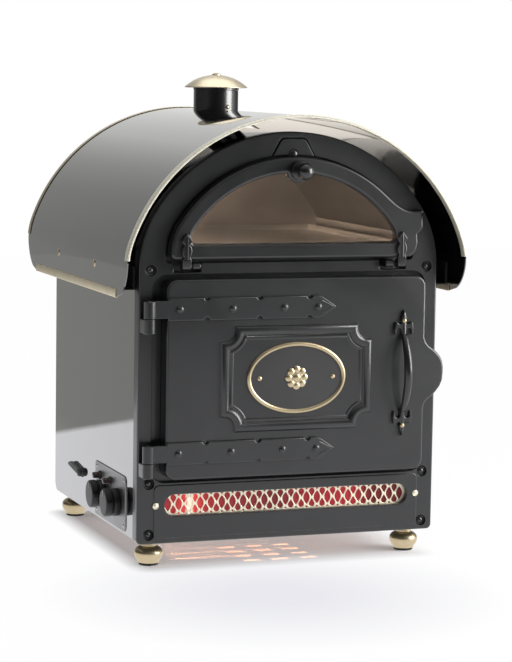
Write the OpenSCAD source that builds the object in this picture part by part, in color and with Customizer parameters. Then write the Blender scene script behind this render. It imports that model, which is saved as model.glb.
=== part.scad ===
// Tabletop baked potato oven: cast front, arched display flap, canopy roof and chimney.
// Lengths are millimetres. +Z is up, the front faces -Y, and y is counted from the casting's front face.

/* [Body] */
// Width of the front casting
body_w = 440; // [420:5:470]
// Depth from the casting's face to the back panel
body_d = 426; // [410:5:470]
// Height from the casting's lower edge to the centre of its arch
wall_h = 326.5; // [320:0.5:345]
// Radius of the casting's arch
arch_r = 234; // [230:1:244]
// Thickness of the outer sheet
sheet_t = 1.5; // [1:0.1:2]
// Thickness of the inner stainless sheet
liner_t = 1.5; // [1:0.1:2]
// Radius of the rounded lower back corners
rear_corner_r = 12; // [4:1:20]

/* [Feet] */
// Height of a foot with its pad
foot_h = 38.5; // [34:0.5:46]
// Radius of the ball
foot_ball_r = 19; // [15:0.5:21]
// Radius of the neck
foot_neck_r = 11; // [8:0.5:12]
// Radius of the pad
foot_pad_r = 13.5; // [9:0.5:14]
// Thickness of the pad
foot_pad_t = 3; // [2:0.5:5]
// Foot centre in from the side
foot_inset_x = 28; // [22:1:60]
// Front foot centre behind the casting's face
foot_front_y = 34; // [32:1:60]
// Back foot centre ahead of the back panel
foot_back_y = 18; // [14:1:50]

/* [Front casting] */
// Thickness of the casting at its border
casting_t = 20; // [18:0.5:24]
// Depth of the two bays that the door and the flap close into
bay_depth = 9; // [7:0.5:11]
// Corner radius of the door's bay
bay_r = 20; // [10:1:24]
// Radius of a bolt's sunk seat
seat_r = 8; // [7:0.5:9]
// Depth of a bolt's sunk seat
seat_depth = 2.5; // [1:0.5:4]
// Bolt centre in from the side
bolt_inset = 16.8; // [14:0.2:20]
// Lowest bolt above the casting's lower edge
bolt_low = 9; // [8:0.5:12]
// Radius of a bolt's shank
bolt_r = 3; // [2.5:0.5:4]
// Radius of a bolt's domed head
bolt_head_r = 5; // [4:0.5:6]
// Height by which the lower band and the keystone stand out
raise = 1.5; // [1:0.5:3]
// Band end in from the side
band_inset = 24; // [20:1:30]
// Keystone half width at its foot
key_foot = 30; // [26:1:36]
// Keystone half width at its head
key_head = 17; // [12:1:22]
// Keystone height
key_h = 24.5; // [20:0.5:27]

/* [Oven door] */
// Left edge of the door from the casting's side
door_left = 35; // [33:0.5:38]
// Right edge of the door from the casting's side
door_right = 23.5; // [22:0.5:28]
// Lower edge of the door above the casting's lower edge
door_lift = 86.5; // [84:0.5:96]
// Beam between the door's top and the flap
beam_h = 26.7; // [24:0.1:32]
// How far the door's face stands out from the casting
door_proud = 17; // [15:0.5:20]
// Corner radius of the door
door_r = 14; // [8:1:18]
// Thickness of the door's cast face
door_skin = 5; // [4:0.5:8]
// Rounding of the door's front edge
door_edge = 3.5; // [2:0.5:6]
// Gap between the door and its bay, above and below
bay_gap = 5.7; // [3:0.1:8]
// Gap between the door and its bay on the hinge side
bay_gap_hinge = 15.5; // [10:0.5:17]
// How far the door laps over the oven's opening
door_lap = 14; // [12:0.5:20]
// Thickness of the door's flat seal
seal_t = 0.9; // [0.6:0.1:1.5]
// Width of the door's flat seal
seal_w = 8; // [5:1:10]
// Depth of the door's inner pan
pan_depth = 8; // [5:1:12]
// Radius of the ear on the right
ear_r = 38; // [34:1:42]
// Ear centre in from the door's right edge
ear_in = 6; // [2:1:10]
// Concave radius where the ear meets the door
ear_fillet = 12; // [6:1:16]
// Thickness of the ear
ear_t = 15.5; // [10:0.5:16]

/* [Door moulding] */
// Half width of the scalloped moulding at its crest
mould_hx = 105; // [95:1:110]
// Space from the moulding to each hinge strap
mould_gap = 16.65; // [14:0.05:22]
// Radius of the scalloped corners
scallop_r = 21; // [16:1:26]
// Radius of the rounded bead
bead_r = 8; // [6:0.5:9]
// Height of the bead above the door's face
bead_h = 3.5; // [2:0.5:5]
// Half length of the oval badge
badge_a = 73; // [65:1:78]
// Space from the oval badge to the moulding, up and down
badge_gap = 16.5; // [14:0.5:22]
// Width of the badge ring
ring_w = 4.5; // [3:0.5:6]
// Height of the badge ring
ring_h = 2.5; // [1.5:0.5:4]

/* [Door hinges] */
// Height of a hinge strap
strap_h = 31; // [28:1:34]
// Thickness of a hinge strap
strap_t = 4; // [3:0.5:5]
// Length of a hinge strap from the door's edge to its tip
strap_len = 245; // [225:5:265]
// Length of one strap segment
strap_seg = 76; // [68:1:80]
// Upper strap centre below the door's top
strap_down = 40; // [34:1:60]
// Lower strap centre above the door's foot
strap_up = 37; // [34:1:60]
// Radius of a hinge barrel
barrel_r = 8; // [7:0.5:9]
// Hinge axis outside the door's left edge
axis_out = 25.5; // [25:0.5:26]
// Hinge axis ahead of the casting's face
axis_front = 19; // [17:0.5:21]
// Height of the barrel on the door
knuckle_h = 24; // [20:1:26]
// Height of the barrel on the casting
lug_h = 20; // [16:1:22]
// Radius of the hinge pin
pin_r = 3; // [2.5:0.5:4]
// Radial running clearance of pins and spindles
run_fit = 0.05; // [0.02:0.01:0.1]
// Widest opening of the door in degrees
door_open = 120; // [90:5:130]

/* [Pull handle] */
// Handle centre in from the door's right edge
handle_in = 34.5; // [30:0.5:40]
// Distance between the two end leaves' screws
handle_span = 148; // [130:2:160]
// Chord of the bowed bar
bar_chord = 104; // [90:2:112]
// How far the bar bows out beyond its ends
bar_bow = 19; // [16:1:26]
// Radius of the bar
bar_r = 6; // [4:0.5:6.5]
// Thickness of the end leaves
leaf_t = 5; // [4:0.5:7]

/* [Display flap] */
// Casting visible around the flap's arch
flap_border = 34; // [32:1:38]
// Flap's lower edge above the centre of the arch
flap_up = 61; // [56:1:66]
// Half width of the flap
flap_hw = 179; // [170:1:182]
// How far the flap's face stands out from the casting
flap_proud = 15; // [14:0.5:16]
// Lower corner radius of the flap
flap_r2 = 7; // [4:1:14]
// Width of the flap's frame along its arch
frame_w = 22; // [18:1:26]
// Height of the flap's lower rail
rail_h = 20.5; // [18:0.5:24]
// Half width of the window
window_hw = 150; // [140:1:152]
// Lower corner radius of the window
window_r2 = 9; // [4:1:14]
// Thickness of the glass
glass_t = 4; // [3:0.5:5]
// How far the glass is overlapped by the frame
glass_lap = 5; // [4:0.5:8]
// Flap hinge axis below the flap's lower edge
flap_axis_down = 9.3; // [9:0.1:11]
// Flap hinge axis ahead of the casting's face
flap_axis_front = 8; // [7:0.5:9]
// Width of a flap strap
flap_strap_w = 13; // [10:0.5:15]
// Flap strap centre from the middle
flap_strap_x = 158; // [150:1:160]
// Radius of a flap strap's eye
eye_r = 6; // [5:0.5:6.5]
// Radius of a flap hinge pin
flap_pin_r = 2.5; // [2:0.5:3]
// Radius of the flap's ball knob
ball_r = 11; // [10:0.5:14]
// Ball knob right of the flap's middle
knob_x = 3.5; // [0:0.5:6]
// Thickness of the knob's collar
collar_t = 7; // [2:0.5:8]
// Radius of the knob's boss
boss_r = 14; // [12:0.5:16]
// Widest opening of the flap in degrees
flap_open = 90; // [60:5:90]

/* [Canopy] */
// Clear space between the casting's arch and the canopy
canopy_gap = 21.5; // [18:0.5:26]
// Clear space between the body's sides and the canopy
eave_gap = 26.5; // [24:0.5:30]
// Length of the canopy from front to back
canopy_len = 522; // [510:1:560]
// How far the canopy reaches ahead of the casting
overhang = 36.5; // [30:0.5:44]
// Eave height above the centre of the arch
eave_up = 10; // [4:1:20]
// Radius of the canopy's rounded lower corners
canopy_corner = 51; // [40:1:60]
// Thickness of the brass trim
trim_t = 1; // [0.6:0.1:1.5]
// Width of the brass trim on the sheet
trim_w = 11; // [8:0.5:14]
// Height of the brass strip on the eave
eave_trim_h = 7.5; // [5:0.5:9]
// Height of the support rails
rail_up = 32; // [26:1:36]

/* [Chimney] */
// Outer radius of the chimney tube
pipe_r = 33.5; // [28:0.5:38]
// Wall of the chimney tube
pipe_t = 1.5; // [1:0.1:2.5]
// Chimney centre ahead of the back panel
pipe_back = 96; // [82:2:120]
// Height of the tube above the canopy's crown
pipe_up = 32.5; // [26:0.5:40]
// Radius of the cap's brim
cap_r = 47; // [42:1:52]
// Height of the cap's dome
cap_h = 19; // [14:1:24]

/* [Glowing grille] */
// Length of the slot
slot_len = 361; // [330:1:365]
// Height of the slot
slot_h = 30; // [26:1:32]
// Slot centre above the casting's lower edge
slot_up = 49; // [47:0.5:52]
// Number of cells along the fret
cells = 23; // [15:1:27]
// Width of the fret's crossing bars
bar_w = 2.3; // [1.4:0.1:2.6]
// Width of the fret's rim
rim_w = 2.2; // [1.6:0.1:3]
// Thickness of the fret
fret_t = 2; // [1.5:0.5:3]
// Thickness of the red lens
lens_t = 3; // [2:0.5:4]
// How far the fret sits behind the casting's face
fret_seat = 7; // [5:0.5:9]
// Fret plate beyond the slot at each end
fret_ear = 20; // [18:1:22]
// Fret plate beyond the slot above and below
fret_lap = 7; // [5:0.5:8]

/* [Oven inside] */
// Space between the oven cavity and the back panel
rear_space = 76; // [66:2:96]
// Thickness of the insulation
wool_t = 22; // [15:1:26]
// Number of racks
racks = 3; // [2:1:4]
// Radius of a rack's frame wire
rack_wire_r = 3; // [2:0.5:4]
// Radius of a rack's cross wires
cross_wire_r = 1.5; // [1:0.25:2]
// Number of cross wires
cross_wires = 15; // [9:1:19]
// Clearance between a rack and the walls
rack_gap = 4; // [3:0.5:6]
// Width of a rack runner
runner_w = 13; // [11:1:16]
// Space behind the fan baffle
fan_room = 38; // [34:1:44]
// Radius of the fan
fan_r = 72; // [60:1:80]
// Width of the fan's blades
blade_w = 16; // [12:1:20]
// Number of fan blades
blades = 10; // [6:1:12]
// Radius of the fan shaft
shaft_r = 4; // [3:0.5:5]
// Radius of the ring element
element_r = 95; // [88:1:100]
// Radius of the element's tube
element_tube_r = 4; // [3:0.5:5]
// Radius of the fan motor
motor_r = 36; // [30:1:40]
// Space between the fan motor and the back panel
motor_space = 27.5; // [20:0.5:34]

/* [Display inside] */
// Inner radius of the display liner
display_r = 206; // [202:1:208]
// Half width of the display liner
display_hw = 185; // [182:1:188]
// Display floor below the window's lower edge
display_drop = 10; // [8:1:14]
// Space between the display liner and the back panel
display_space = 44; // [30:1:60]
// Radius of the display lamp
lamp_r = 7; // [5:0.5:9]
// Length of the display lamp
lamp_len = 70; // [50:2:80]
// Height of the tray's rim
tray_h = 9; // [6:1:14]

/* [Controls] */
// Length of the control plate
plate_l = 149; // [135:1:160]
// Height of the control plate
plate_h = 78; // [70:1:80]
// Front edge of the control plate behind the casting's face
plate_y = 53; // [45:1:60]
// Lower edge of the control plate above the casting's lower edge
plate_up = 3.5; // [3:0.5:6]
// Radius of a control knob
knob_r = 20; // [17:0.5:21]
// Length of a control knob
knob_len = 28; // [22:1:28]
// Front knob behind the plate's front edge
knob_y1 = 40; // [36:1:44]
// Back knob behind the plate's front edge
knob_y2 = 111; // [104:1:116]
// Knob centre above the plate's lower edge
knob_up = 36; // [32:1:40]
// Radius of an indicator lamp
pilot_r = 4.5; // [3.5:0.5:6]
// Indicator lamps above the knobs' centres
pilot_up = 24.5; // [24:0.5:32]
// Radius of the cable elbow's sleeve
sleeve_r = 5; // [4:0.5:6]
// Length of the cable elbow's sleeve
sleeve_len = 44; // [36:1:56]
// Cable elbow behind the casting's face
elbow_y = 276; // [260:2:300]
// Cable elbow's foot above the casting's lower edge
elbow_up = 44; // [38:1:60]

/* [Hidden] */
$fn = 64;
gap = 0.4;
far = 2 * body_d;

cavity_d = body_d - casting_t - rear_space;
motor_len = rear_space - liner_t - sheet_t - motor_space;
display_d = body_d - casting_t - display_space;
pipe_y = body_d - pipe_back;

arch_z = foot_h + wall_h;
side_x = body_w / 2;
panel_x = side_x - 1;
inner_x = panel_x - sheet_t;
hood_r = arch_r - 1;
canopy_r = arch_r + canopy_gap + sheet_t;
canopy_hw = side_x + eave_gap + sheet_t;
eave_z = arch_z + eave_up;
rail_z = eave_z + eave_trim_h;
seat = 0.2;
screw_y = [114, 302];
rail_screw_z = rail_z + rail_up - 6;
trim_z = eave_z + canopy_corner + 1;
canopy_y0 = -overhang;
canopy_y1 = canopy_len - overhang;

flap_r = arch_r - flap_border;
flap_z = arch_z + flap_up;
flap_back = bay_depth - 1;
flap_bay = 2.5;
glass_y = 0;
flap_lug_w = 12.5;
flap_lug_r = 5.1;
flap_lug_x = flap_strap_x - flap_strap_w / 2 - 3 - flap_lug_w;
key_bolt_z = arch_z + flap_r + 7;
window_r = flap_r - frame_w;
window_z = flap_z + rail_h;
mouth_r = window_r + 6;
mouth_hw = window_hw + 12;
mouth_z = window_z - 6;
flap_axis_z = flap_z - flap_axis_down;
knob_z = arch_z + flap_r - frame_w / 2 - 5;
knob_tip = flap_proud + 22.5 + ball_r;
shift_y = -(canopy_y1 + seat + trim_t - knob_tip) / 2;

door_x0 = -side_x + door_left;
door_x1 = side_x - door_right;
door_z0 = foot_h + door_lift;
door_z1 = flap_z - beam_h;
door_w = door_x1 - door_x0;
door_h = door_z1 - door_z0;
door_cx = (door_x0 + door_x1) / 2;
door_cz = (door_z0 + door_z1) / 2;
door_back = bay_depth - seal_t - gap / 2;
mould_x = door_cx - 2.5;
mould_z = door_cz - 1;
handle_x = door_x1 - handle_in;
handle_z = door_cz + 1;
axis_x = door_x0 - axis_out;
axis_y = -axis_front;
strap_z = [door_z1 - strap_down, door_z0 + strap_up];
mould_hz = (strap_z[0] - strap_z[1] - strap_h) / 2 - mould_gap;
badge_b = mould_hz - badge_gap;
cav_x0 = door_x0 + door_lap;
cav_x1 = door_x1 - door_lap;
cav_z0 = door_z0 + door_lap;
cav_z1 = door_z1 - door_lap;
cav_cx = (cav_x0 + cav_x1) / 2;
cav_cz = (cav_z0 + cav_z1) / 2;
cav_y1 = casting_t + cavity_d;
baffle_y = cav_y1 - fan_room;
motor_bore = 26;
baffle_in = 18;
holder_w = 18;
magnet_h = 40;
magnet_d = 6;

slot_z = foot_h + slot_up;
fret_y = fret_seat;
lens_y = fret_y + fret_t;
display_z = window_z - display_drop;
display_y1 = casting_t + display_d;
pipe_top = arch_z + canopy_r + pipe_up;
plate_z = foot_h + plate_up;
knob_zc = plate_z + knob_up;
plate_face = panel_x + sheet_t;
rack_z = [for (i = [0 : racks - 1]) cav_z0 + (i + 0.75) * (cav_z1 - cav_z0) / (racks + 0.6)];

// Moves a piece into the part's own frame, whose origin is under the middle of the whole oven
module place() translate([0, shift_y, 0]) children();
// Turns an outline drawn in x and z into a plate between two depths
module plate(y0, y1) translate([0, y1, 0]) rotate([90, 0, 0]) linear_extrude(y1 - y0) children();
// Turns an outline drawn in y and z into a plate between two x positions
module side_plate(x0, x1) translate([x0, 0, 0]) rotate([90, 0, 90]) linear_extrude(x1 - x0) children();
// Stands a turned piece so that its axis points out of the front
module facing(x, y, z) translate([x, y, z]) rotate([90, 0, 0]) children();
// Stands a turned piece so that its axis points out of the left side
module leftward(x, y, z) translate([x, y, z]) rotate([0, -90, 0]) children();
module mirrored() { children(); mirror([1, 0, 0]) children(); }
module mirrored_2d() { children(); mirror([1, 0]) children(); }

module box_2d(x0, z0, x1, z1, r) {
    translate([x0 + r, z0]) square([x1 - x0 - 2 * r, z1 - z0]);
    translate([x0, z0 + r]) square([x1 - x0, z1 - z0 - 2 * r]);
    for (x = [x0 + r, x1 - r], z = [z0 + r, z1 - r]) translate([x, z]) circle(r);
}
module arch_2d(hw, z0, r) intersection() {
    translate([-hw, z0]) square([2 * hw, far]);
    union() {
        translate([0, arch_z]) circle(r);
        translate([-hw, z0]) square([2 * hw, max(1, arch_z - z0)]);
    }
}
// Arch with rounded lower corners, for the flap, its bay, the window and the glass
module lunette_2d(hw, z0, r, corner) intersection() {
    translate([0, arch_z]) circle(r);
    box_2d(-hw, z0, hw, arch_z + 2 * r, corner);
}
module slot_2d(len, h) {
    square([len - h, h], center = true);
    for (s = [-1, 1]) translate([s * (len - h) / 2, 0]) circle(h / 2);
}
// Low dome with a flat underside
module dome(r, h) {
    ball = (r * r + h * h) / (2 * h);
    rotate_extrude() intersection() {
        translate([0, h - ball]) circle(ball);
        square([r, h]);
    }
}
// Oval with half axes a and b
module oval_2d(a, b) polygon([for (i = [0 : 5 : 355]) [a * cos(i), b * sin(i)]]);

// Front casting

module door_2d() {
    box_2d(door_x0, door_z0, door_x1, door_z1, door_r);
}
module ear_2d() {
    ex = door_x1 - ear_in;
    dz = sqrt(pow(ear_r + ear_fillet, 2) - pow(ear_in + ear_fillet, 2));
    intersection() {
        translate([ex, handle_z]) circle(ear_r);
        translate([ex - ear_r / 2, handle_z - ear_r]) square([2 * ear_r, 2 * ear_r]);
    }
    difference() {
        polygon([[ex, handle_z], [door_x1, handle_z - dz], [door_x1 + ear_fillet, handle_z - dz],
            [door_x1 + ear_fillet, handle_z + dz], [door_x1, handle_z + dz]]);
        for (s = [-1, 1]) translate([door_x1 + ear_fillet, handle_z + s * dz]) circle(ear_fillet);
    }
}
module bolt_places() {
    for (s = [-1, 1]) {
        for (z = [foot_h + bolt_low, foot_h + door_lift - 6.5, flap_z - 15]) {
            translate([s * (side_x - bolt_inset), 0, z]) children();
        }
    }
}
module pocket_2d() mirrored()
    translate([flap_lug_x - 4, flap_axis_z - eye_r - 3])
        square([flap_strap_x + 13 - flap_lug_x + 4, eye_r + 3 + flap_axis_down]);

module front_casting() color("#3d3f42") place() {
    key_z = arch_z + flap_r;
    difference() {
        union() {
            plate(0, casting_t) arch_2d(side_x, foot_h, arch_r);
            plate(-raise, 0) box_2d(band_inset - side_x, foot_h + 3.5, side_x - band_inset,
                door_z0 - bay_gap - 3, 6);
            plate(-raise, 0) polygon([[-key_foot, key_z], [-key_head, key_z + key_h],
                [key_head, key_z + key_h], [key_foot, key_z]]);
        }
        plate(-1, bay_depth) box_2d(door_x0 - bay_gap_hinge, door_z0 - bay_gap,
            door_x1 + bay_gap, door_z1 + bay_gap, bay_r);
        plate(-raise - 1, bay_depth) lunette_2d(flap_hw + flap_bay, flap_z - 5,
            flap_r + flap_bay, flap_r2 + flap_bay);
        plate(-1, bay_depth) pocket_2d();
        plate(-1, casting_t + 1) box_2d(cav_x0, cav_z0, cav_x1, cav_z1, 6);
        plate(-1, casting_t + 1) lunette_2d(mouth_hw, mouth_z, mouth_r, 8);
        plate(-raise - 1, casting_t + 1) translate([0, slot_z]) slot_2d(slot_len, slot_h);
        plate(fret_y, casting_t + 1) fret_plate_2d();
        bolt_places() facing(0, seat_depth, 0) cylinder(r = seat_r, h = far);
        bolt_places() facing(0, casting_t + 1, 0) cylinder(r = bolt_r, h = casting_t + 1);
        facing(0, casting_t + 1, key_bolt_z) cylinder(r = bolt_r, h = casting_t + 3);
        fret_screw_places() facing(0, casting_t + 1, 0) cylinder(r = 2, h = casting_t + 3);
        side_plate(door_x1 - 12, door_x1 + 0.5) magnet_2d(3);
    }
    door_lugs();
    flap_lugs();
}
// Side view of the magnet, and of its slot, which opens forwards by a margin
module magnet_2d(margin) translate([bay_depth - margin, door_cz - magnet_h / 2])
    square([magnet_d + margin, magnet_h]);
module door_lugs() difference() {
    union() for (z = strap_z) {
        translate([axis_x, axis_y, z - knuckle_h / 2 - gap - lug_h]) cylinder(r = barrel_r, h = lug_h);
        translate([axis_x - barrel_r, axis_y, z - knuckle_h / 2 - gap - lug_h])
            cube([2 * barrel_r, axis_front, lug_h]);
    }
    for (z = strap_z) translate([axis_x, axis_y, z - knuckle_h / 2 - gap - lug_h + 4])
        cylinder(r = pin_r, h = far);
}
module flap_lugs() mirrored() difference() {
    union() {
        translate([flap_lug_x, -flap_axis_front, flap_axis_z - flap_lug_r])
            cube([flap_lug_w, bay_depth + flap_axis_front, 2 * flap_lug_r]);
        translate([flap_lug_x, -flap_axis_front, flap_axis_z]) rotate([0, 90, 0])
            cylinder(r = flap_lug_r, h = flap_lug_w);
    }
    translate([flap_lug_x + 3, -flap_axis_front, flap_axis_z]) rotate([0, 90, 0])
        cylinder(r = flap_pin_r, h = far);
}

module bolt(seat) {
    facing(0, seat, 0) dome(bolt_head_r, 3.5);
    facing(0, casting_t, 0) cylinder(r = bolt_r, h = casting_t - seat);
}
module casting_bolts() color("#2c2d2f") place() {
    bolt_places() bolt(seat_depth);
    translate([0, 0, key_bolt_z]) bolt(-raise);
}

// Case

module side_2d() {
    difference() {
        translate([casting_t, foot_h]) square([body_d - sheet_t - casting_t, wall_top() - foot_h]);
        translate([body_d - sheet_t - rear_corner_r, foot_h])
            square([rear_corner_r, rear_corner_r]);
    }
    translate([body_d - sheet_t - rear_corner_r, foot_h + rear_corner_r]) circle(rear_corner_r);
}
function wall_top() = arch_z + sqrt(hood_r * hood_r - panel_x * panel_x);

module side_panel() {
    side_plate(inner_x, panel_x) side_2d();
    translate([inner_x - 12, casting_t, foot_h + sheet_t]) cube([12, sheet_t, wall_h]);
}
module left_side_panel() color("#1b1b1c") place() difference() {
    mirror([1, 0, 0]) side_panel();
    for (y = [knob_y1, knob_y2]) {
        leftward(-inner_x + 1, plate_y + y, knob_zc) cylinder(r = 4.5, h = sheet_t + 2);
        leftward(-inner_x + 1, plate_y + y + pilot_shift(y), knob_zc + pilot_up)
            cylinder(r = pilot_r, h = sheet_t + 2);
    }
    leftward(-inner_x + 1, elbow_y, foot_h + elbow_up + 4) cylinder(r = 3, h = sheet_t + 2);
}
// The lamp beside the back knob stands further back than the one beside the front knob
function pilot_shift(y) = y > (knob_y1 + knob_y2) / 2 ? 12 : 33;

module right_side_panel() color("#1b1b1c") place() side_panel();

module inner_hood() color("#202021") place() difference() {
    plate(casting_t, body_d - sheet_t) difference() {
        intersection() {
            translate([0, arch_z]) circle(hood_r);
            translate([-panel_x, wall_top()]) square([2 * panel_x, far]);
        }
        translate([0, arch_z]) circle(hood_r - sheet_t);
    }
    translate([0, pipe_y, arch_z]) cylinder(r = pipe_r, h = far);
}

module back_panel() color("#1b1b1c") place() difference() {
    plate(body_d - sheet_t, body_d) intersection() {
        arch_2d(panel_x, foot_h, hood_r);
        box_2d(-panel_x, foot_h, panel_x, arch_z + 2 * hood_r, rear_corner_r);
    }
    for (i = [-4 : 4], j = [-4 : 4]) if (i * i + j * j < 20)
        facing(cav_cx + 12 * i, body_d + 1, cav_cz + 12 * j) cylinder(r = 3.5, h = sheet_t + 2);
    for (i = [-6 : 6]) plate(body_d - sheet_t - 1, body_d + 1)
        translate([24 * i, foot_h + 40]) slot_2d(16, 5);
}

module base_plate() color("#262627") place() difference() {
    translate([-inner_x, casting_t, foot_h]) cube([2 * inner_x, body_d - sheet_t - casting_t, sheet_t]);
    for (x = [-105, 0, 105], y = [casting_t + 36 : 18 : casting_t + 150])
        translate([x, y, foot_h - 1]) linear_extrude(sheet_t + 2) slot_2d(86, 6);
    for (x = [-1, 1]) translate([x * inner_x, body_d - sheet_t - rear_corner_r, foot_h - 1])
        translate([-rear_corner_r / 2, 0, 0]) cube([rear_corner_r, rear_corner_r, sheet_t + 2]);
}
module foot_places() for (s = [-1, 1], y = [foot_front_y, body_d - foot_back_y])
    translate([s * (side_x - foot_inset_x), y, 0]) children();
module feet() color("#c9b98a") place() foot_places() rotate_extrude() difference() {
    union() {
        intersection() {
            translate([0, foot_pad_t + foot_ball_r - 4.5]) circle(foot_ball_r);
            translate([0, foot_pad_t]) square([2 * foot_ball_r, foot_h]);
        }
        translate([0, foot_h / 2]) square([foot_neck_r, foot_h / 2]);
    }
    translate([-2 * foot_ball_r, 0]) square([2 * foot_ball_r, foot_h]);
}
module foot_pads() color("#151515") place() foot_places()
    cylinder(r = foot_pad_r, h = foot_pad_t);

// Canopy

// Outline of the canopy's arch above a height, drawn inwards by d
module vault_2d(d, z0) intersection() {
    translate([0, arch_z]) circle(canopy_r - d);
    translate([d - canopy_hw, z0]) square([2 * (canopy_hw - d), far]);
}
module vault_ring_2d(d0, d1, z0) difference() {
    vault_2d(d0, z0);
    vault_2d(d1, z0 - 1);
}
module canopy() color("#1b1b1c") place() difference() {
    intersection() {
        plate(canopy_y0, canopy_y1) vault_ring_2d(0, sheet_t, eave_z);
        side_plate(-far, far) box_2d(canopy_y0, eave_z, canopy_y1, arch_z + far, canopy_corner);
    }
    translate([0, pipe_y, arch_z]) cylinder(r = pipe_r + gap, h = far);
    for (s = [0, 1], y = screw_y) mirror([s, 0, 0]) translate([inner_x, y, rail_screw_z])
        rotate([0, 90, 0]) cylinder(r = 2, h = far);
}
// U-shaped trim that grips the sheet's edge from y0 to y1
module edge_trim(y0, y1, groove0, groove1) difference() {
    plate(y0, y1) vault_ring_2d(-seat - trim_t, sheet_t + seat + trim_t, trim_z);
    plate(groove0, groove1) vault_ring_2d(-seat, sheet_t + seat, trim_z - 1);
}
module canopy_front_trim() color("#cdbf93") place()
    edge_trim(canopy_y0 - seat - trim_t, canopy_y0 + trim_w, canopy_y0 - seat, canopy_y0 + far);
module canopy_rear_trim() color("#cdbf93") place()
    edge_trim(canopy_y1 - trim_w, canopy_y1 + seat + trim_t, canopy_y1 - far, canopy_y1 + seat);
module canopy_eave_trims() color("#cdbf93") place() mirrored()
    plate(canopy_y0 + canopy_corner, canopy_y1 - canopy_corner) difference() {
        translate([canopy_hw - sheet_t - seat - trim_t, eave_z - seat - trim_t])
            square([sheet_t + 2 * (seat + trim_t), eave_trim_h]);
        translate([canopy_hw - sheet_t - seat, eave_z - seat]) square([sheet_t + 2 * seat, far]);
    }

module canopy_rails() color("#2a2a2b") place() mirrored() difference() {
    plate(casting_t + 6, body_d - 10) difference() {
        translate([panel_x, rail_z]) square([canopy_hw - sheet_t - panel_x, rail_up]);
        translate([panel_x + 1.5, rail_z + 1.5])
            square([canopy_hw - sheet_t - panel_x - 3, far]);
    }
    for (y = screw_y) translate([side_x, y, rail_screw_z]) rotate([0, 90, 0])
        cylinder(r = 2, h = far);
}
module canopy_screws() color("#cdbf93") place() mirrored()
    for (y = screw_y) translate([canopy_hw, y, rail_screw_z]) rotate([0, 90, 0]) {
        dome(3.5, 1);
        translate([0, 0, -sheet_t - 3]) cylinder(r = 2, h = sheet_t + 3);
    }

// Chimney

module chimney_pipe() color("#1b1b1c") place() difference() {
    translate([0, pipe_y, arch_z]) cylinder(r = pipe_r, h = pipe_top - arch_z);
    translate([0, pipe_y, arch_z]) cylinder(r = pipe_r - pipe_t, h = far);
    facing(0, pipe_y + far / 2, arch_z) cylinder(r = display_r + liner_t, h = far);
}
module chimney_cap() color("#cdbf93") place() translate([0, pipe_y, pipe_top]) {
    rim = 1.5;
    dome_r = (pow(cap_r - 7, 2) + pow(cap_h, 2)) / (2 * cap_h);
    rotate_extrude() difference() {
        union() {
            square([cap_r, rim]);
            intersection() {
                translate([0, cap_h + rim - dome_r]) circle(dome_r);
                square([cap_r - 7, cap_h + rim]);
            }
        }
        intersection() {
            translate([0, cap_h - dome_r]) circle(dome_r);
            translate([-1, -1]) square([pipe_r - pipe_t, cap_h + 1]);
        }
    }
}
module chimney_screws() color("#8d7a45") place() {
    translate([0, pipe_y, pipe_top + cap_h + 1.5]) dome(4, 2.5);
    translate([0, pipe_y, pipe_top - 22]) rotate([90, 0, 25]) translate([0, 0, pipe_r])
        dome(3, 1.6);
}

// Glowing grille

module fret_plate_2d() box_2d(-slot_len / 2 - fret_ear, slot_z - slot_h / 2 - fret_lap,
    slot_len / 2 + fret_ear, slot_z + slot_h / 2 + fret_lap, 6);
module fret_screw_places() for (s = [-1, 1])
    translate([s * (slot_len / 2 + fret_ear - 7), 0, slot_z]) children();

// Each bar runs from a cell's lower tip through a crossing to the next cell's upper tip.
// At height t from -1 to 1 its centre line stands this far past the crossing, in pitches.
function bow(t) = 0.5 * (0.6 * t + 0.4 * pow(t, 3));
module fret_2d() {
    half = slot_h / 2 - rim_w;
    pitch = (slot_len - slot_h / 2) / cells;
    lens_hw = pitch / 2 - bar_w * 0.55;
    lens = [for (t = [-1 : 0.2 : 0.99]) [lens_hw * (1 - abs(2 * bow(t))), t * (half - 0.8)]];
    side = [for (t = [0.3 : 0.14 : 1.01]) [pitch * bow(t) - bar_w * 0.6, t * half]];
    fan_r = pitch * 0.37;
    intersection() {
        slot_2d(slot_len - 2 * rim_w, slot_h - 2 * rim_w);
        for (i = [0 : cells]) translate([(i - cells / 2) * pitch, 0])
            polygon(concat(lens, -1 * lens));
    }
    for (i = [0 : cells - 1], s = [0, 1])
        translate([(i - cells / 2 + 0.5) * pitch, 0]) mirror([0, s]) intersection() {
            polygon(concat([[0, half * 0.22]], side, [for (k = [len(side) - 1 : -1 : 0])
                [-side[k].x, side[k].y]]));
            translate([0, half - fan_r]) circle(fan_r);
        }
    for (i = [1 : cells - 1], s = [-1, 1])
        translate([(i - cells / 2) * pitch, s * (slot_h / 2 - 1.2)]) circle(0.7, $fn = 16);
}
module fret_grille() color("#cdbf93") place() difference() {
    plate(fret_y, fret_y + fret_t) difference() {
        fret_plate_2d();
        translate([0, slot_z]) fret_2d();
    }
    fret_screw_places() facing(0, far, 0) cylinder(r = 2, h = 2 * far);
}
module fret_screws() color("#cdbf93") place() fret_screw_places() {
    facing(0, -raise, 0) dome(4, 1.4);
    facing(0, lens_y + lens_t, 0) cylinder(r = 2, h = lens_y + lens_t + raise);
}
module red_lens() color("#a01622", 0.7) place() difference() {
    plate(lens_y, lens_y + lens_t) fret_plate_2d();
    fret_screw_places() facing(0, far, 0) cylinder(r = 2, h = 2 * far);
}
glow_x = -150;
glow_y = casting_t + 22;
module glow_lamp_holder() color("#d8d4c8") place() translate([glow_x, glow_y, foot_h + sheet_t]) {
    cylinder(r = 11, h = 3);
    cylinder(r = 8, h = slot_up - sheet_t - 17);
}
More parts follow.
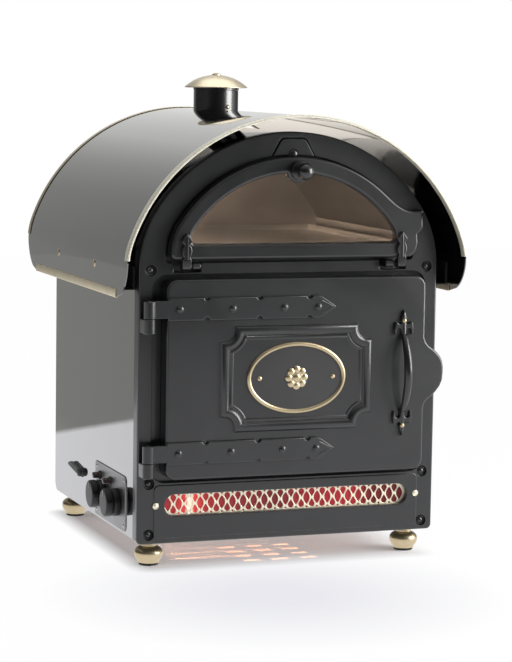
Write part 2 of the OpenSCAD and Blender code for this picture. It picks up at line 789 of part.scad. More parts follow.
module glow_lamp() color("#fff2d0", 0.6) place() translate([glow_x, glow_y, slot_z - 17])
    rotate_extrude() difference() {
        union() {
            square([5, 10]);
            intersection() {
                translate([0, 15]) circle(10);
                square([10, 30]);
            }
        }
        translate([-30, 0]) square([30, 40]);
    }

// Oven

module oven_liner() color("#b9bbbd") place() difference() {
    union() {
        plate(casting_t, cav_y1 + liner_t)
            box_2d(cav_x0 - liner_t, cav_z0 - liner_t, cav_x1 + liner_t, cav_z1 + liner_t, 6 + liner_t);
        plate(casting_t, casting_t + liner_t)
            box_2d(cav_x0 - 12, cav_z0 - 12, cav_x1 + 12, cav_z1 + 12, 12);
    }
    plate(casting_t - 1, cav_y1) box_2d(cav_x0, cav_z0, cav_x1, cav_z1, 6);
    facing(cav_cx, cav_y1 + far, cav_cz) cylinder(r = shaft_r + 3, h = 2 * far);
    element_legs(leg_r, far);
}
module oven_insulation() color("#d9cf9a") place() {
    y0 = casting_t + liner_t;
    d = cavity_d - liner_t;
    side_plate(cav_x0 - liner_t - wool_t, cav_x0 - liner_t)
        translate([y0, cav_z0 + 6]) square([d, cav_z1 - cav_z0 - 12]);
    side_plate(cav_x1 + liner_t, cav_x1 + liner_t + wool_t)
        translate([y0, cav_z0 + 6]) square([d, cav_z1 - cav_z0 - 12]);
    for (z = [cav_z0 - liner_t - wool_t, cav_z1 + liner_t])
        translate([cav_x0 + 6, y0, z]) cube([cav_x1 - cav_x0 - 12, d, wool_t]);
}
module rack_runners() color("#a9abad") place() {
    y0 = casting_t + 14;
    len = baffle_y - y0 - 4;
    translate([cav_cx, 0, 0]) mirrored() translate([cav_x0 - cav_cx, 0, 0]) {
        for (y = [y0 + 30, y0 + len - 44])
            translate([0, y, cav_z0 + 12]) cube([2, 14, cav_z1 - cav_z0 - 24]);
        for (z = rack_z) difference() {
            translate([0, y0, z - 6]) cube([runner_w, len, 6]);
            translate([1.5, y0 - 1, z - 7.5]) cube([runner_w, len + 2, 6]);
        }
    }
}
module wire(a, b, r) translate(a) {
    d = b - a;
    rotate([0, acos(d.z / norm(d)), atan2(d.y, d.x)]) cylinder(r = r, h = norm(d));
}
module rack(z) {
    c = 12;
    x0 = cav_x0 + rack_gap + rack_wire_r;
    x1 = cav_x1 - rack_gap - rack_wire_r;
    y0 = casting_t + 16;
    y1 = baffle_y - 8;
    translate([0, 0, z + rack_wire_r]) {
        for (y = [y0, y1]) wire([x0 + c, y, 0], [x1 - c, y, 0], rack_wire_r);
        for (x = [x0, x1]) wire([x, y0 + c, 0], [x, y1 - c, 0], rack_wire_r);
        for (p = [[x0 + c, y0 + c, 180], [x1 - c, y0 + c, 270], [x1 - c, y1 - c, 0], [x0 + c, y1 - c, 90]])
            translate([p.x, p.y, 0]) rotate([0, 0, p.z]) rotate_extrude(angle = 90)
                translate([c, 0]) circle(rack_wire_r);
        for (i = [1 : cross_wires]) {
            x = x0 + i * (x1 - x0) / (cross_wires + 1);
            wire([x, y0, cross_wire_r], [x, y1, cross_wire_r], cross_wire_r);
        }
    }
}
module lower_rack() color("#c4c6c8") place() rack(rack_z[0]);
module middle_rack() color("#c4c6c8") place() rack(rack_z[1]);
module upper_rack() color("#c4c6c8") place() rack(rack_z[racks - 1]);

module fan_baffle() color("#a9abad") place() difference() {
    union() {
        plate(baffle_y, baffle_y + 1.2)
            box_2d(cav_x0 + 0.01, cav_z0 + baffle_in, cav_x1 - 0.01, cav_z1 - baffle_in, 2);
        for (x = [cav_x0 + 0.01, cav_x1 - 1.21])
            translate([x, baffle_y, cav_z0 + baffle_in + 2])
                cube([1.2, 14, cav_z1 - cav_z0 - 2 * baffle_in - 4]);
    }
    for (i = [-4 : 4], j = [-4 : 4]) if (i * i + j * j < 18)
        facing(cav_cx + 11 * i, far, cav_cz + 11 * j) cylinder(r = 3.6, h = far);
}
leg_r = element_tube_r + 0.6;
module element_legs(r, len) for (s = [-1, 1])
    translate([cav_cx + s * 22, cav_y1 - fan_room / 2 - leg_r, cav_cz + element_z()])
        rotate([-90, 0, 0]) cylinder(r = r, h = len + leg_r);
function element_z() = sqrt(pow(element_r, 2) - 22 * 22);
module ring_element() color("#6f6a66") place() {
    a = asin(22 / element_r);
    translate([cav_cx, cav_y1 - fan_room / 2, cav_cz]) rotate([90, 0, 0]) rotate([0, 0, 90 + a])
        rotate_extrude(angle = 360 - 2 * a) translate([element_r, 0]) circle(element_tube_r);
    element_legs(leg_r, fan_room / 2 + 12);
}
motor_y = cav_y1 + liner_t;
module fan_motor() color("#8b8d90") place() difference() {
    union() {
        facing(cav_cx, motor_y + 2, cav_cz) cylinder(r = motor_r + 8, h = 2);
        for (i = [0 : 4]) facing(cav_cx, motor_y + 8 + 8 * i, cav_cz) cylinder(r = motor_r, h = 3);
        facing(cav_cx, motor_y + motor_len, cav_cz) cylinder(r = motor_r - 5, h = motor_len - 2);
    }
    facing(cav_cx, motor_y + motor_bore, cav_cz) cylinder(r = shaft_r + run_fit, h = far);
}
module fan_wheel() color("#9fa1a4") place() facing(cav_cx, cav_y1 - 8, cav_cz) {
    cylinder(r = fan_r, h = 1.5);
    cylinder(r = 9, h = blade_w);
    translate([0, 0, -motor_bore - liner_t - 8 + gap + 2]) cylinder(r = shaft_r, h = motor_bore + 10);
    for (i = [0 : blades - 1]) rotate([0, 0, i * 360 / blades]) translate([fan_r * 0.45, -0.75, 0])
        rotate([0, 0, 18]) cube([fan_r * 0.5, 1.5, blade_w]);
}

// Display

module display_liner() color("#b9bbbd") place() difference() {
    union() {
        plate(casting_t, display_y1 + liner_t)
            lunette_2d(display_hw + liner_t, display_z - liner_t, display_r + liner_t, 5 + liner_t);
        plate(casting_t, casting_t + liner_t)
            lunette_2d(display_hw + 9, display_z - 9, display_r + 9, 9);
    }
    plate(casting_t - 1, display_y1) lunette_2d(display_hw, display_z, display_r, 5);
    translate([0, pipe_y, arch_z]) cylinder(r = pipe_r - pipe_t - 4, h = far);
}
module display_tray() color("#c9cbcd") place() difference() {
    translate([-display_hw + 14, casting_t + 4, display_z])
        cube([2 * display_hw - 28, display_d - 12, tray_h]);
    translate([-display_hw + 15.2, casting_t + 5.2, display_z + 1.2])
        cube([2 * display_hw - 30.4, display_d - 14.4, tray_h]);
}
lamp_z = arch_z + display_r - 17;
lamp_y = casting_t + 17;
module display_lamp() color("#ffe7b0", 0.7) place()
    translate([-lamp_len / 2, lamp_y, lamp_z]) rotate([0, 90, 0]) cylinder(r = lamp_r, h = lamp_len);
module lamp_holders() color("#e4e0d6") place() mirrored() difference() {
    translate([lamp_len / 2, lamp_y - holder_w / 2, lamp_z - holder_w / 2])
        cube([8, holder_w, 4 * holder_w]);
    facing(0, far, arch_z) difference() {
        cylinder(r = 2 * display_r, h = 2 * far);
        translate([0, 0, -1]) cylinder(r = display_r, h = 2 * far + 2);
    }
}

// Controls on the left side

module control_plate() color("#55575a") place() difference() {
    side_plate(-plate_face, -panel_x)
        box_2d(plate_y, plate_z, plate_y + plate_l, plate_z + plate_h, 7);
    for (y = [knob_y1, knob_y2]) {
        leftward(0, plate_y + y, knob_zc) cylinder(r = 4.5, h = far);
        leftward(0, plate_y + y + pilot_shift(y), knob_zc + pilot_up) cylinder(r = pilot_r, h = far);
    }
}
module control_body(y, w) difference() {
    union() {
        translate([-inner_x, plate_y + y - w / 2, knob_zc - 18]) cube([24, w, 36]);
        translate([-inner_x + 24, plate_y + y - 12, knob_zc - 12]) cube([8, 24, 24]);
    }
    leftward(-inner_x + 18, plate_y + y, knob_zc) cylinder(r = 3 + run_fit, h = far);
}
module thermostat_body() color("#3a3a3c") place() control_body(knob_y1, 40);
module timer_body() color("#4a4a4c") place() control_body(knob_y2, 46);
module pilot_lamps() color("#d98c86") place() for (y = [knob_y1, knob_y2])
    translate([-plate_face, plate_y + y + pilot_shift(y), knob_zc + pilot_up]) rotate([0, -90, 0]) {
        cylinder(r = pilot_r + 1.5, h = 3);
        cylinder(r = pilot_r, h = 9);
        translate([0, 0, 9]) dome(pilot_r, 3);
        translate([0, 0, -2 * sheet_t - 10]) cylinder(r = pilot_r, h = 2 * sheet_t + 10);
    }
module control_knob(y) leftward(-plate_face - gap, plate_y + y, knob_zc) {
    rotate_extrude() difference() {
        union() {
            square([knob_r - 0.5, 11]);
            translate([0, 11]) square([knob_r - 3, knob_len - 11]);
            translate([0, 14]) square([knob_r, knob_len - 17]);
            translate([knob_r - 3, 14]) circle(3);
            translate([knob_r - 3, knob_len - 3]) circle(3);
        }
        translate([-far, -far]) square([far, 2 * far]);
    }
    translate([0, 0, -2 * sheet_t - gap - 16]) cylinder(r = 3, h = 2 * sheet_t + gap + 16);
}
module thermostat_knob() color("#151515") place() control_knob(knob_y1);
module timer_knob() color("#151515") place() control_knob(knob_y2);

module cable_elbow() color("#2b2b2b") place() {
    z0 = foot_h + elbow_up;
    bend = 10;
    x = -panel_x - sleeve_r - 3;
    translate([x - 7, elbow_y - 8, z0]) cube([sleeve_r + 10, 16, 8]);
    translate([x, elbow_y, z0]) cylinder(r = sleeve_r, h = 14);
    translate([x, elbow_y + bend, z0 + 14]) rotate([90, 0, -90])
        rotate_extrude(angle = 90) translate([bend, 0]) circle(sleeve_r);
    translate([x, elbow_y + bend, z0 + 14 + bend]) rotate([-90, 0, 0]) difference() {
        cylinder(r = sleeve_r, h = sleeve_len);
        translate([0, 0, sleeve_len - 12]) cylinder(r = sleeve_r - 1, h = 20);
    }
}

// Hinge pins and catch

module door_hinge_pins() color("#4a4b4d") place() for (z = strap_z)
    translate([axis_x, axis_y, z - knuckle_h / 2 - gap - lug_h + 4])
        cylinder(r = pin_r, h = lug_h - 4 + gap + knuckle_h - 4);
module flap_hinge_pins() color("#6d6e70") place() mirrored()
    translate([flap_lug_x + 3, -flap_axis_front, flap_axis_z]) rotate([0, 90, 0])
        cylinder(r = flap_pin_r, h = flap_strap_x + flap_strap_w / 2 - flap_lug_x - 3);
module door_magnet() color("#55575a") place()
    side_plate(door_x1 - 12, door_x1 + 0.5) magnet_2d(0);

// Oven door

module bead() {
    y = bead_h - bead_r;
    translate([mould_x, -door_proud - y, mould_z]) {
        for (s = [-1, 1]) {
            translate([-mould_hx + scallop_r, 0, s * mould_hz]) rotate([0, 90, 0])
                cylinder(r = bead_r, h = 2 * (mould_hx - scallop_r));
            translate([s * mould_hx, 0, -mould_hz + scallop_r])
                cylinder(r = bead_r, h = 2 * (mould_hz - scallop_r));
        }
        for (i = [0 : 3]) {
            sx = i == 0 || i == 3 ? 1 : -1;
            sz = i < 2 ? 1 : -1;
            translate([sx * mould_hx, 0, sz * mould_hz]) rotate([90, 0, 0]) rotate([0, 0, 180 + 90 * i])
                rotate_extrude(angle = 90) translate([scallop_r, 0]) circle(bead_r);
        }
    }
}
module oven_door() color("#3d3f42") place() difference() {
    union() {
        plate(door_edge - door_proud, door_back) door_2d();
        plate(-door_proud, door_edge - door_proud) box_2d(door_x0 + door_edge, door_z0 + door_edge,
            door_x1 - door_edge, door_z1 - door_edge, door_r - door_edge);
        for (x = [door_x0 + door_edge, door_x1 - door_edge])
            translate([x, door_edge - door_proud, door_z0 + door_r])
                cylinder(r = door_edge, h = door_h - 2 * door_r);
        for (z = [door_z0 + door_edge, door_z1 - door_edge])
            translate([door_x0 + door_r, door_edge - door_proud, z]) rotate([0, 90, 0])
                cylinder(r = door_edge, h = door_w - 2 * door_r);
        for (x = [door_x0 + door_r, door_x1 - door_r], z = [door_z0 + door_r, door_z1 - door_r])
            facing(x, door_edge - door_proud, z) rotate_extrude()
                translate([door_r - door_edge, 0]) circle(door_edge);
        plate(1.5 - door_proud, ear_t - door_proud) ear_2d();
        plate(-door_proud, 1.5 - door_proud) intersection() {
            ear_2d();
            translate([door_x1 - ear_in, handle_z]) circle(ear_r - 1.5);
        }
        bead();
    }
    plate(door_skin - door_proud, door_back + 1) pan_2d(12);
}
module pan_2d(d) box_2d(cav_x0 + 5 + d, cav_z0 + 5 + d, cav_x1 - 5 - d, cav_z1 - 5 - d, 4);
module door_lining() color("#b9bbbd") place() difference() {
    plate(door_back, door_back + pan_depth) pan_2d(0);
    plate(door_back - 1, door_back + pan_depth - liner_t) pan_2d(liner_t);
}
module door_seal() color("#8c8a80") place() plate(door_back, door_back + seal_t - gap / 2) difference() {
    box_2d(door_x0 + 2, door_z0 + 2, door_x1 - 2, door_z1 - 2, door_r - 2);
    box_2d(door_x0 + 2 + seal_w, door_z0 + 2 + seal_w, door_x1 - 2 - seal_w, door_z1 - 2 - seal_w, 5);
}
module strap_2d() {
    h = strap_h / 2;
    difference() {
        union() {
            translate([0, -h]) square([strap_len - 40, strap_h]);
            intersection() {
                translate([strap_len - 28, 0]) circle(h);
                translate([strap_len - 44, -h]) square([24, strap_h]);
            }
            polygon([[strap_len - 26, h], [strap_len - 22, h * 0.93], [strap_len, 0],
                [strap_len - 22, -h * 0.93], [strap_len - 26, -h]]);
        }
        for (x = [56, 56 + strap_seg, 56 + 2 * strap_seg - 3], s = [-1, 1])
            translate([x, s * (h + 0.5)]) circle(4.5);
    }
}
module strap(z) {
    face = -door_proud;
    difference() {
        union() {
            translate([door_x0, 0, z]) plate(face - strap_t, face) strap_2d();
            translate([axis_x, face - strap_t, z - knuckle_h / 2])
                cube([door_x0 - axis_x + 1, strap_t, knuckle_h]);
            translate([axis_x, axis_y, z - knuckle_h / 2]) cylinder(r = barrel_r, h = knuckle_h);
        }
        translate([axis_x, axis_y, z - knuckle_h / 2 - 1])
            cylinder(r = pin_r + run_fit, h = knuckle_h - 3);
    }
    for (x = [17, 17 + strap_seg, 17 + 2 * strap_seg - 1, strap_len - 27])
        facing(door_x0 + x, face - strap_t, z) dome(4.5, 3);
}
module upper_strap() color("#35373a") place() strap(strap_z[0]);
module lower_strap() color("#35373a") place() strap(strap_z[1]);

module badge_ring() color("#cdbf93") place() {
    translate([mould_x, 0, mould_z]) plate(-door_proud - ring_h, -door_proud) difference() {
        oval_2d(badge_a, badge_b);
        oval_2d(badge_a - ring_w, badge_b - ring_w);
    }
    for (s = [-1, 1]) facing(mould_x + s * (badge_a - ring_w - 11), -door_proud, mould_z) dome(3, 2);
}
module badge_rosette() color("#cdbf93") place() facing(mould_x, -door_proud, mould_z) {
    for (i = [0 : 7]) rotate([0, 0, 45 * i]) translate([11, 0, 0]) dome(5.5, 1.8);
    cylinder(r = 10, h = 1.2);
    translate([0, 0, 1.2]) dome(5, 2);
}

// One leaf of the pull handle, pointing up, with its screw at the origin
module leaf_2d() {
    polygon([[-2.6, -4], [-3.9, 0], [-3.6, 4], [0, 15.6], [3.6, 4], [3.9, 0], [2.6, -4]]);
    translate([-3, -24]) square([6, 22]);
    mirrored_2d() difference() {
        polygon([[0, -4.5], [4, -5.2], [7, -4.8], [10.8, -2.4], [12.4, -1.8], [13.7, -5], [14.3, -12],
            [13.6, -19.5], [12.4, -20.3], [11.2, -19.5], [0, -15]]);
        translate([6.9, -14.6]) circle(4.2);
        polygon([[2.7, -14.6], [2.7, -26], [11.2, -26], [11.1, -14.6]]);
    }
}
module pull_handle() color("#2c2d2f") place() {
    big = (pow(bar_chord / 2, 2) + bar_bow * bar_bow) / (2 * bar_bow);
    half = asin(bar_chord / 2 / big);
    y_end = -door_proud - bar_r;
    for (s = [0, 1]) translate([handle_x, 0, handle_z]) mirror([0, 0, s]) {
        translate([0, 0, handle_span / 2]) plate(-door_proud - leaf_t, -door_proud) leaf_2d();
    }
    translate([handle_x, y_end - bar_bow + big, handle_z]) rotate([0, 90, 0]) rotate([0, 0, -90 - half])
        rotate_extrude(angle = 2 * half) translate([big, 0]) circle(bar_r);
}
module handle_screws() color("#cdbf93") place() for (s = [-1, 1])
    facing(handle_x, -door_proud - leaf_t, handle_z + s * handle_span / 2) dome(2.8, 1.6);

// Display flap

module tab_2d() difference() {
    z = flap_z;
    x = flap_hw;
    polygon([[x - 38, z + 82], [x - 20, z + 80], [x + 12, z + 80], [x + 12, z + 47], [x + 12.8, z + 41],
        [x + 9, z + 35], [x + 4, z + 31], [x + 5, z + 18], [x + 2, z + 7], [x - 6, z], [x - 38, z]]);
    translate([x - 1, z + 96]) circle(33);
}
module display_flap() color("#3d3f42") place() {
    difference() {
        union() {
            plate(2 - flap_proud, flap_back) lunette_2d(flap_hw, flap_z, flap_r, flap_r2);
            plate(-flap_proud, 2 - flap_proud) lunette_2d(flap_hw - 2, flap_z + 2, flap_r - 2, flap_r2 - 2);
            plate(-flap_proud, -1.5) tab_2d();
            plate(-flap_proud, flap_back) translate([knob_x, knob_z]) circle(boss_r);
        }
        plate(-flap_proud - 1, flap_back + 1) difference() {
            lunette_2d(window_hw, window_z, window_r, window_r2);
            translate([knob_x, knob_z]) circle(boss_r + 3);
        }
        plate(glass_y, flap_back + 1) lunette_2d(window_hw + glass_lap + 4, window_z - glass_lap - 4,
            window_r + glass_lap + 4, window_r2);
    }
}
module flap_glass() color("#cfd4d4", 0.3) place() plate(glass_y, glass_y + glass_t)
    lunette_2d(window_hw + glass_lap, window_z - glass_lap, window_r + glass_lap, window_r2);

module flap_strap() difference() {
    union() {
        plate(-flap_proud - 4, -flap_proud) {
            translate([-flap_strap_w / 2, 0]) square([flap_strap_w, 24]);
            translate([0, 24]) circle(flap_strap_w / 2);
            polygon([[-flap_strap_w / 2 + 0.5, 26], [0, 36], [flap_strap_w / 2 - 0.5, 26]]);
        }
        translate([-flap_strap_w / 2, -flap_proud - 4, -flap_axis_down - 4])
            cube([flap_strap_w, flap_proud + 4 - flap_axis_front, flap_axis_down + 4 - gap]);
        translate([-flap_strap_w / 2, -flap_axis_front, -flap_axis_down]) rotate([0, 90, 0])
            cylinder(r = eye_r, h = flap_strap_w);
        translate([-flap_strap_w / 2, -flap_proud - 4, -flap_axis_down - 4])
            cube([flap_strap_w, 4, flap_axis_down + 5]);
    }
    translate([-flap_strap_w, -flap_axis_front, -flap_axis_down]) rotate([0, 90, 0])
        cylinder(r = flap_pin_r + run_fit, h = 2 * flap_strap_w);
}
module flap_straps() color("#2c2d2f") place() mirrored() translate([flap_strap_x, 0, flap_z]) flap_strap();

module flap_knob() color("#2c2d2f") place() facing(knob_x, -flap_proud, knob_z) {
    rotate_extrude() difference() {
        union() {
            square([boss_r - 0.5, collar_t]);
            square([6, 14]);
            translate([0, knob_tip - flap_proud - ball_r]) circle(ball_r);
        }
        translate([-far, -far]) square([far, 2 * far]);
    }
}

front_casting();
casting_bolts();
left_side_panel();
right_side_panel();
inner_hood();
back_panel();
base_plate();
feet();
foot_pads();
canopy();
canopy_front_trim();
canopy_rear_trim();
canopy_eave_trims();
canopy_rails();
canopy_screws();
chimney_pipe();
chimney_cap();
chimney_screws();
fret_grille();
fret_screws();
red_lens();
glow_lamp();
glow_lamp_holder();
oven_liner();
oven_insulation();
rack_runners();
lower_rack();
middle_rack();
upper_rack();
fan_baffle();
fan_motor();
ring_element();
display_liner();
display_tray();
display_lamp();
lamp_holders();
control_plate();
thermostat_body();
timer_body();
pilot_lamps();
cable_elbow();
door_hinge_pins();
flap_hinge_pins();
door_magnet();
oven_door();
door_lining();
door_seal();
upper_strap();
lower_strap();
badge_ring();
badge_rosette();
pull_handle();
handle_screws();
display_flap();
flap_glass();
flap_straps();
flap_knob();
thermostat_knob();
timer_knob();
fan_wheel();
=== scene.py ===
# Baked potato oven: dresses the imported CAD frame.
# Outlines are in millimetres as seen from the front: x to the right, z up from the counter,
# y backwards from the front casting's face.
import math

import bmesh
import bpy
from mathutils import Matrix, Vector, geometry


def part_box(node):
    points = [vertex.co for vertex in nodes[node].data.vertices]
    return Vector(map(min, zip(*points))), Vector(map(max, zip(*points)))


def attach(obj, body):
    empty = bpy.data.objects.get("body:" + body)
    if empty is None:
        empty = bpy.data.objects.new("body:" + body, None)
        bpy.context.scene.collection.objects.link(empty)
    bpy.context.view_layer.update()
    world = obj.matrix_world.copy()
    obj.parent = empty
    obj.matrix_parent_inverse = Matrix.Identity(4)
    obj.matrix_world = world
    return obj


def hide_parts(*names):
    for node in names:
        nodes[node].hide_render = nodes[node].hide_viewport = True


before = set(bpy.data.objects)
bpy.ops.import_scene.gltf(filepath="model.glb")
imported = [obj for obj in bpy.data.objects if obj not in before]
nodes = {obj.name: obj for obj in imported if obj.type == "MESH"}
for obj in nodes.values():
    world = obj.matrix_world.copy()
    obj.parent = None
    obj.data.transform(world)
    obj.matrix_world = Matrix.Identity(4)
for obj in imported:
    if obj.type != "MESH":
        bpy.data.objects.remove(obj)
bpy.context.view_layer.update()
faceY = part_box("right_side_panel")[0].y - 0.020  # the casting's face in the frame
mm = 0.001
print("frame loaded:", len(nodes), "nodes")


def arcPoints(cx, cz, radius, start, end, count):
    step = (end - start) / count
    angles = [math.radians(start + step * i) for i in range(count + 1)]
    return [(cx + radius * math.cos(a), cz + radius * math.sin(a)) for a in angles]


def soften(points, radii, closed=True, steps=5):
    # rounds each corner with its own radius, as far as its two sides leave room
    count = len(points)
    radii = radii if isinstance(radii, (list, tuple)) else [radii] * count
    out = []
    for i, corner in enumerate(points):
        if radii[i] <= 0 or (not closed and i in (0, count - 1)):
            out.append(tuple(corner))
            continue
        b = Vector(corner)
        u, v = Vector(points[i - 1]) - b, Vector(points[(i + 1) % count]) - b
        half = u.angle(v, math.pi) / 2
        if half > math.radians(89.5):
            out.append(tuple(corner))
            continue
        shares = [0.48 if radii[k % count] > 0 else 0.96 for k in (i - 1, i + 1)]
        reach = min(radii[i] / math.tan(half), u.length * shares[0], v.length * shares[1])
        radius = reach * math.tan(half)
        u, v = u.normalized(), v.normalized()
        centre = b + (u + v).normalized() * (radius / math.sin(half))
        a0, a1 = b + u * reach - centre, b + v * reach - centre
        turn = a0.angle_signed(a1)
        for k in range(steps + 1):
            t = -turn * k / steps
            out.append((centre.x + a0.x * math.cos(t) - a0.y * math.sin(t),
                        centre.y + a0.x * math.sin(t) + a0.y * math.cos(t)))
    return out


def ringOf(cx, cz, radius, count=24):
    return arcPoints(cx, cz, radius, 0, 360, count)[:-1]


def panel(x0, z0, x1, z1, radius, steps=6):
    return soften([(x0, z0), (x1, z0), (x1, z1), (x0, z1)], radius, steps=steps)


def stadium(cx, cz, length, height, count=14):
    half = (length - height) / 2
    return (arcPoints(cx + half, cz, height / 2, -90, 90, count)
            + arcPoints(cx - half, cz, height / 2, 90, 270, count))


def archLoop(halfWidth, bottom, radius, centre, corner, haunch, base=None, count=64):
    # flat foot, upright sides, and a crown arc that a tighter haunch arc leads into
    inward = halfWidth - haunch
    lean = math.sqrt((radius - haunch) ** 2 - inward ** 2)
    turn = math.degrees(math.atan2(lean, inward))
    half = arcPoints(inward, centre + lean, haunch, 0, turn, 12)[:-1]
    half += arcPoints(0, centre, radius, turn, 90, count // 2)
    arc = half + [(-x, z) for x, z in half[-2::-1]]
    base = base or [(-halfWidth, bottom), (halfWidth, bottom)]
    return soften(base + arc, [corner] + [2] * (len(base) - 2) + [corner] + [0] * len(arc))


def ccw(loop):
    area = sum(a[0] * b[1] - b[0] * a[1] for a, b in zip(loop, loop[1:] + loop[:1]))
    return loop if area > 0 else loop[::-1]


def inset(loop, distance):
    # moves a closed loop to its left by a distance, with mitred corners
    out = []
    for i, point in enumerate(loop):
        p, a, c = Vector(point), Vector(loop[i - 1]), Vector(loop[(i + 1) % len(loop)])
        e0, e1 = (p - a).normalized(), (c - p).normalized()
        n0, n1 = Vector((-e0.y, e0.x)), Vector((-e1.y, e1.x))
        spread = max(1 + n0.dot(n1), 0.35)
        moved = p + (n0 + n1) * (distance / spread)
        out.append((moved.x, moved.y))
    return out


def joined(shells):
    verts, faces = [], []
    for v, f in shells:
        base = len(verts)
        verts += v
        faces += [[base + i for i in face] for face in f]
    return verts, faces


def moved(shell, offset=(0, 0, 0), turn=None, about=(0, 0, 0)):
    verts, faces = shell
    pivot, shift = Vector(about), Vector(offset)
    turn = turn or Matrix.Identity(3)
    return [tuple(turn @ (Vector(v) - pivot) + pivot + shift) for v in verts], faces


def mirrored(shell):
    verts, faces = shell
    return [(-x, y, z) for x, y, z in verts], [f[::-1] for f in faces]


def facePoint(u, v, depth):
    return (u, depth, v)


def sidePoint(u, v, depth):
    return (depth, u, v)


def topPoint(u, v, depth):
    return (u, v, depth)


def plate(outline, front, back, edge=1.5, backEdge=0.5, steps=4, holes=(), holeEdge=None, at=facePoint):
    # plate with holes and rounded edges; front and back are depths along its thickness
    loops = [ccw(list(outline))] + [ccw(list(h))[::-1] for h in holes]
    holeEdge = edge if holeEdge is None else holeEdge
    edges = [edge] + (holeEdge if isinstance(holeEdge, list) else [holeEdge] * len(holes))
    sign = 1 if back > front else -1
    verts, faces, rings = [], [], []
    profile = [("back", 1.0), ("back", 0.0), ("side", 0.0)]
    profile += [("front", k / steps) for k in range(steps + 1)] + [("cap", 0.0)]
    for kind, t in profile:
        ring = []
        for loop, radius in zip(loops, edges):
            turn = t * math.pi / 2
            if kind == "back":
                step, depth = (backEdge + 0.3 * t) if t else backEdge, back
            elif kind == "side":
                step, depth = 0.0, back - sign * backEdge
            elif kind == "front":
                step = radius * (1 - math.cos(turn))
                depth = front + sign * radius * (1 - math.sin(turn))
            else:
                step, depth = radius * 1.1, front
            start = len(verts)
            verts += [at(u, v, depth) for u, v in inset(loop, step)]
            ring.append((start, len(loop)))
        rings.append(ring)
    for lower, upper in zip(rings, rings[1:]):
        for (a, n), (b, _) in zip(lower, upper):
            faces += [[a + i, a + (i + 1) % n, b + (i + 1) % n, b + i] for i in range(n)]
    for ring in (rings[0], rings[-1]):
        flat = [[Vector((*uvOf(verts[s + i], at), 0)) for i in range(n)] for s, n in ring]
        index = [s + i for s, n in ring for i in range(n)]
        faces += [[index[i] for i in tri] for tri in geometry.tessellate_polygon(flat)]
    return verts, faces


def uvOf(point, at):
    x, y, z = point
    return {facePoint: (x, z), sidePoint: (y, z), topPoint: (x, y)}[at]


axes = {"front": ((1, 0, 0), (0, 0, 1), (0, -1, 0)), "back": ((1, 0, 0), (0, 0, 1), (0, 1, 0)),
        "up": ((1, 0, 0), (0, 1, 0), (0, 0, 1)), "left": ((0, 1, 0), (0, 0, 1), (-1, 0, 0)),
        "right": ((0, 1, 0), (0, 0, 1), (1, 0, 0))}


def lathe(profile, place, axis="up", count=48, wobble=None):
    # profile holds (radius, height) from one end to the other
    u, v, w = (Vector(a) for a in axes[axis])
    origin = Vector(place)
    verts, faces, rings = [], [], []
    for radius, height in profile:
        if radius < 1e-6:
            rings.append([len(verts)])
            verts.append(tuple(origin + w * height))
            continue
        rings.append(list(range(len(verts), len(verts) + count)))
        for i in range(count):
            a = math.tau * i / count
            r = radius if wobble is None else radius * wobble(a, height)
            verts.append(tuple(origin + u * (r * math.cos(a)) + v * (r * math.sin(a)) + w * height))
    for low, high in zip(rings, rings[1:]):
        for i in range(count):
            j = (i + 1) % count
            if len(low) == 1 and len(high) > 1:
                faces.append([low[0], high[j], high[i]])
            elif len(high) == 1 and len(low) > 1:
                faces.append([low[i], low[j], high[0]])
            elif len(low) > 1:
                faces.append([low[i], low[j], high[j], high[i]])
    for ring, flip in ((rings[0], True), (rings[-1], False)):
        if len(ring) > 1:
            faces.append(ring[::-1] if flip else ring)
    return verts, faces


def domeProfile(radius, height, foot=0.5, count=7):
    ball = (radius ** 2 + height ** 2) / (2 * height)
    low = math.asin(max(-1, min(1, (ball - height) / ball)))
    points = [(0, -foot), (radius, -foot)]
    for k in range(count + 1):
        a = low + (math.pi / 2 - low) * k / count
        points.append((ball * math.cos(a) if k < count else 0, height - ball + ball * math.sin(a)))
    return points


def tube(path, radii, count=16, flatten=1.0, up=(0, -1, 0)):
    # round bar along points; flatten squeezes it along the direction up
    points = [Vector(p) for p in path]
    radii = radii if isinstance(radii, (list, tuple)) else [radii] * len(points)
    verts, faces, rings = [], [], []
    side = None
    for i, p in enumerate(points):
        ahead = (points[min(i + 1, len(points) - 1)] - points[max(i - 1, 0)]).normalized()
        if side is None:
            side = Vector(up).cross(ahead)
            if side.length < 0.05:
                side = Vector((1, 0, 0)).cross(ahead)
        side = (side - ahead * side.dot(ahead)).normalized()
        lift = ahead.cross(side)
        rings.append(list(range(len(verts), len(verts) + count)))
        for k in range(count):
            a = math.tau * k / count
            verts.append(tuple(p + side * (radii[i] * math.cos(a)) + lift * (radii[i] * flatten * math.sin(a))))
    for low, high in zip(rings, rings[1:]):
        faces += [[low[k], low[(k + 1) % count], high[(k + 1) % count], high[k]] for k in range(count)]
    faces += [rings[0][::-1], rings[-1]]
    return verts, faces


def ringTube(loop, depth, radius, count=12, at=facePoint):
    # round cord or bead around a closed outline
    return bead(loop, [(radius * math.cos(math.tau * k / count), -radius * math.sin(math.tau * k / count))
                       for k in range(count)], depth, at=at, closedProfile=True)


def bead(loop, profile, depth, at=facePoint, closedProfile=False):
    # profile holds (offset to the left of the loop, height above the depth)
    loop = ccw(list(loop))
    verts, faces, rings = [], [], []
    for step, height in profile:
        rings.append((len(verts), len(loop)))
        verts += [at(u, v, depth - height) for u, v in inset(loop, step)]
    pairs = list(zip(rings, rings[1:]))
    if closedProfile:
        pairs.append((rings[-1], rings[0]))
    for (a, n), (b, _) in pairs:
        faces += [[a + i, a + (i + 1) % n, b + (i + 1) % n, b + i] for i in range(n)]
    return verts, faces


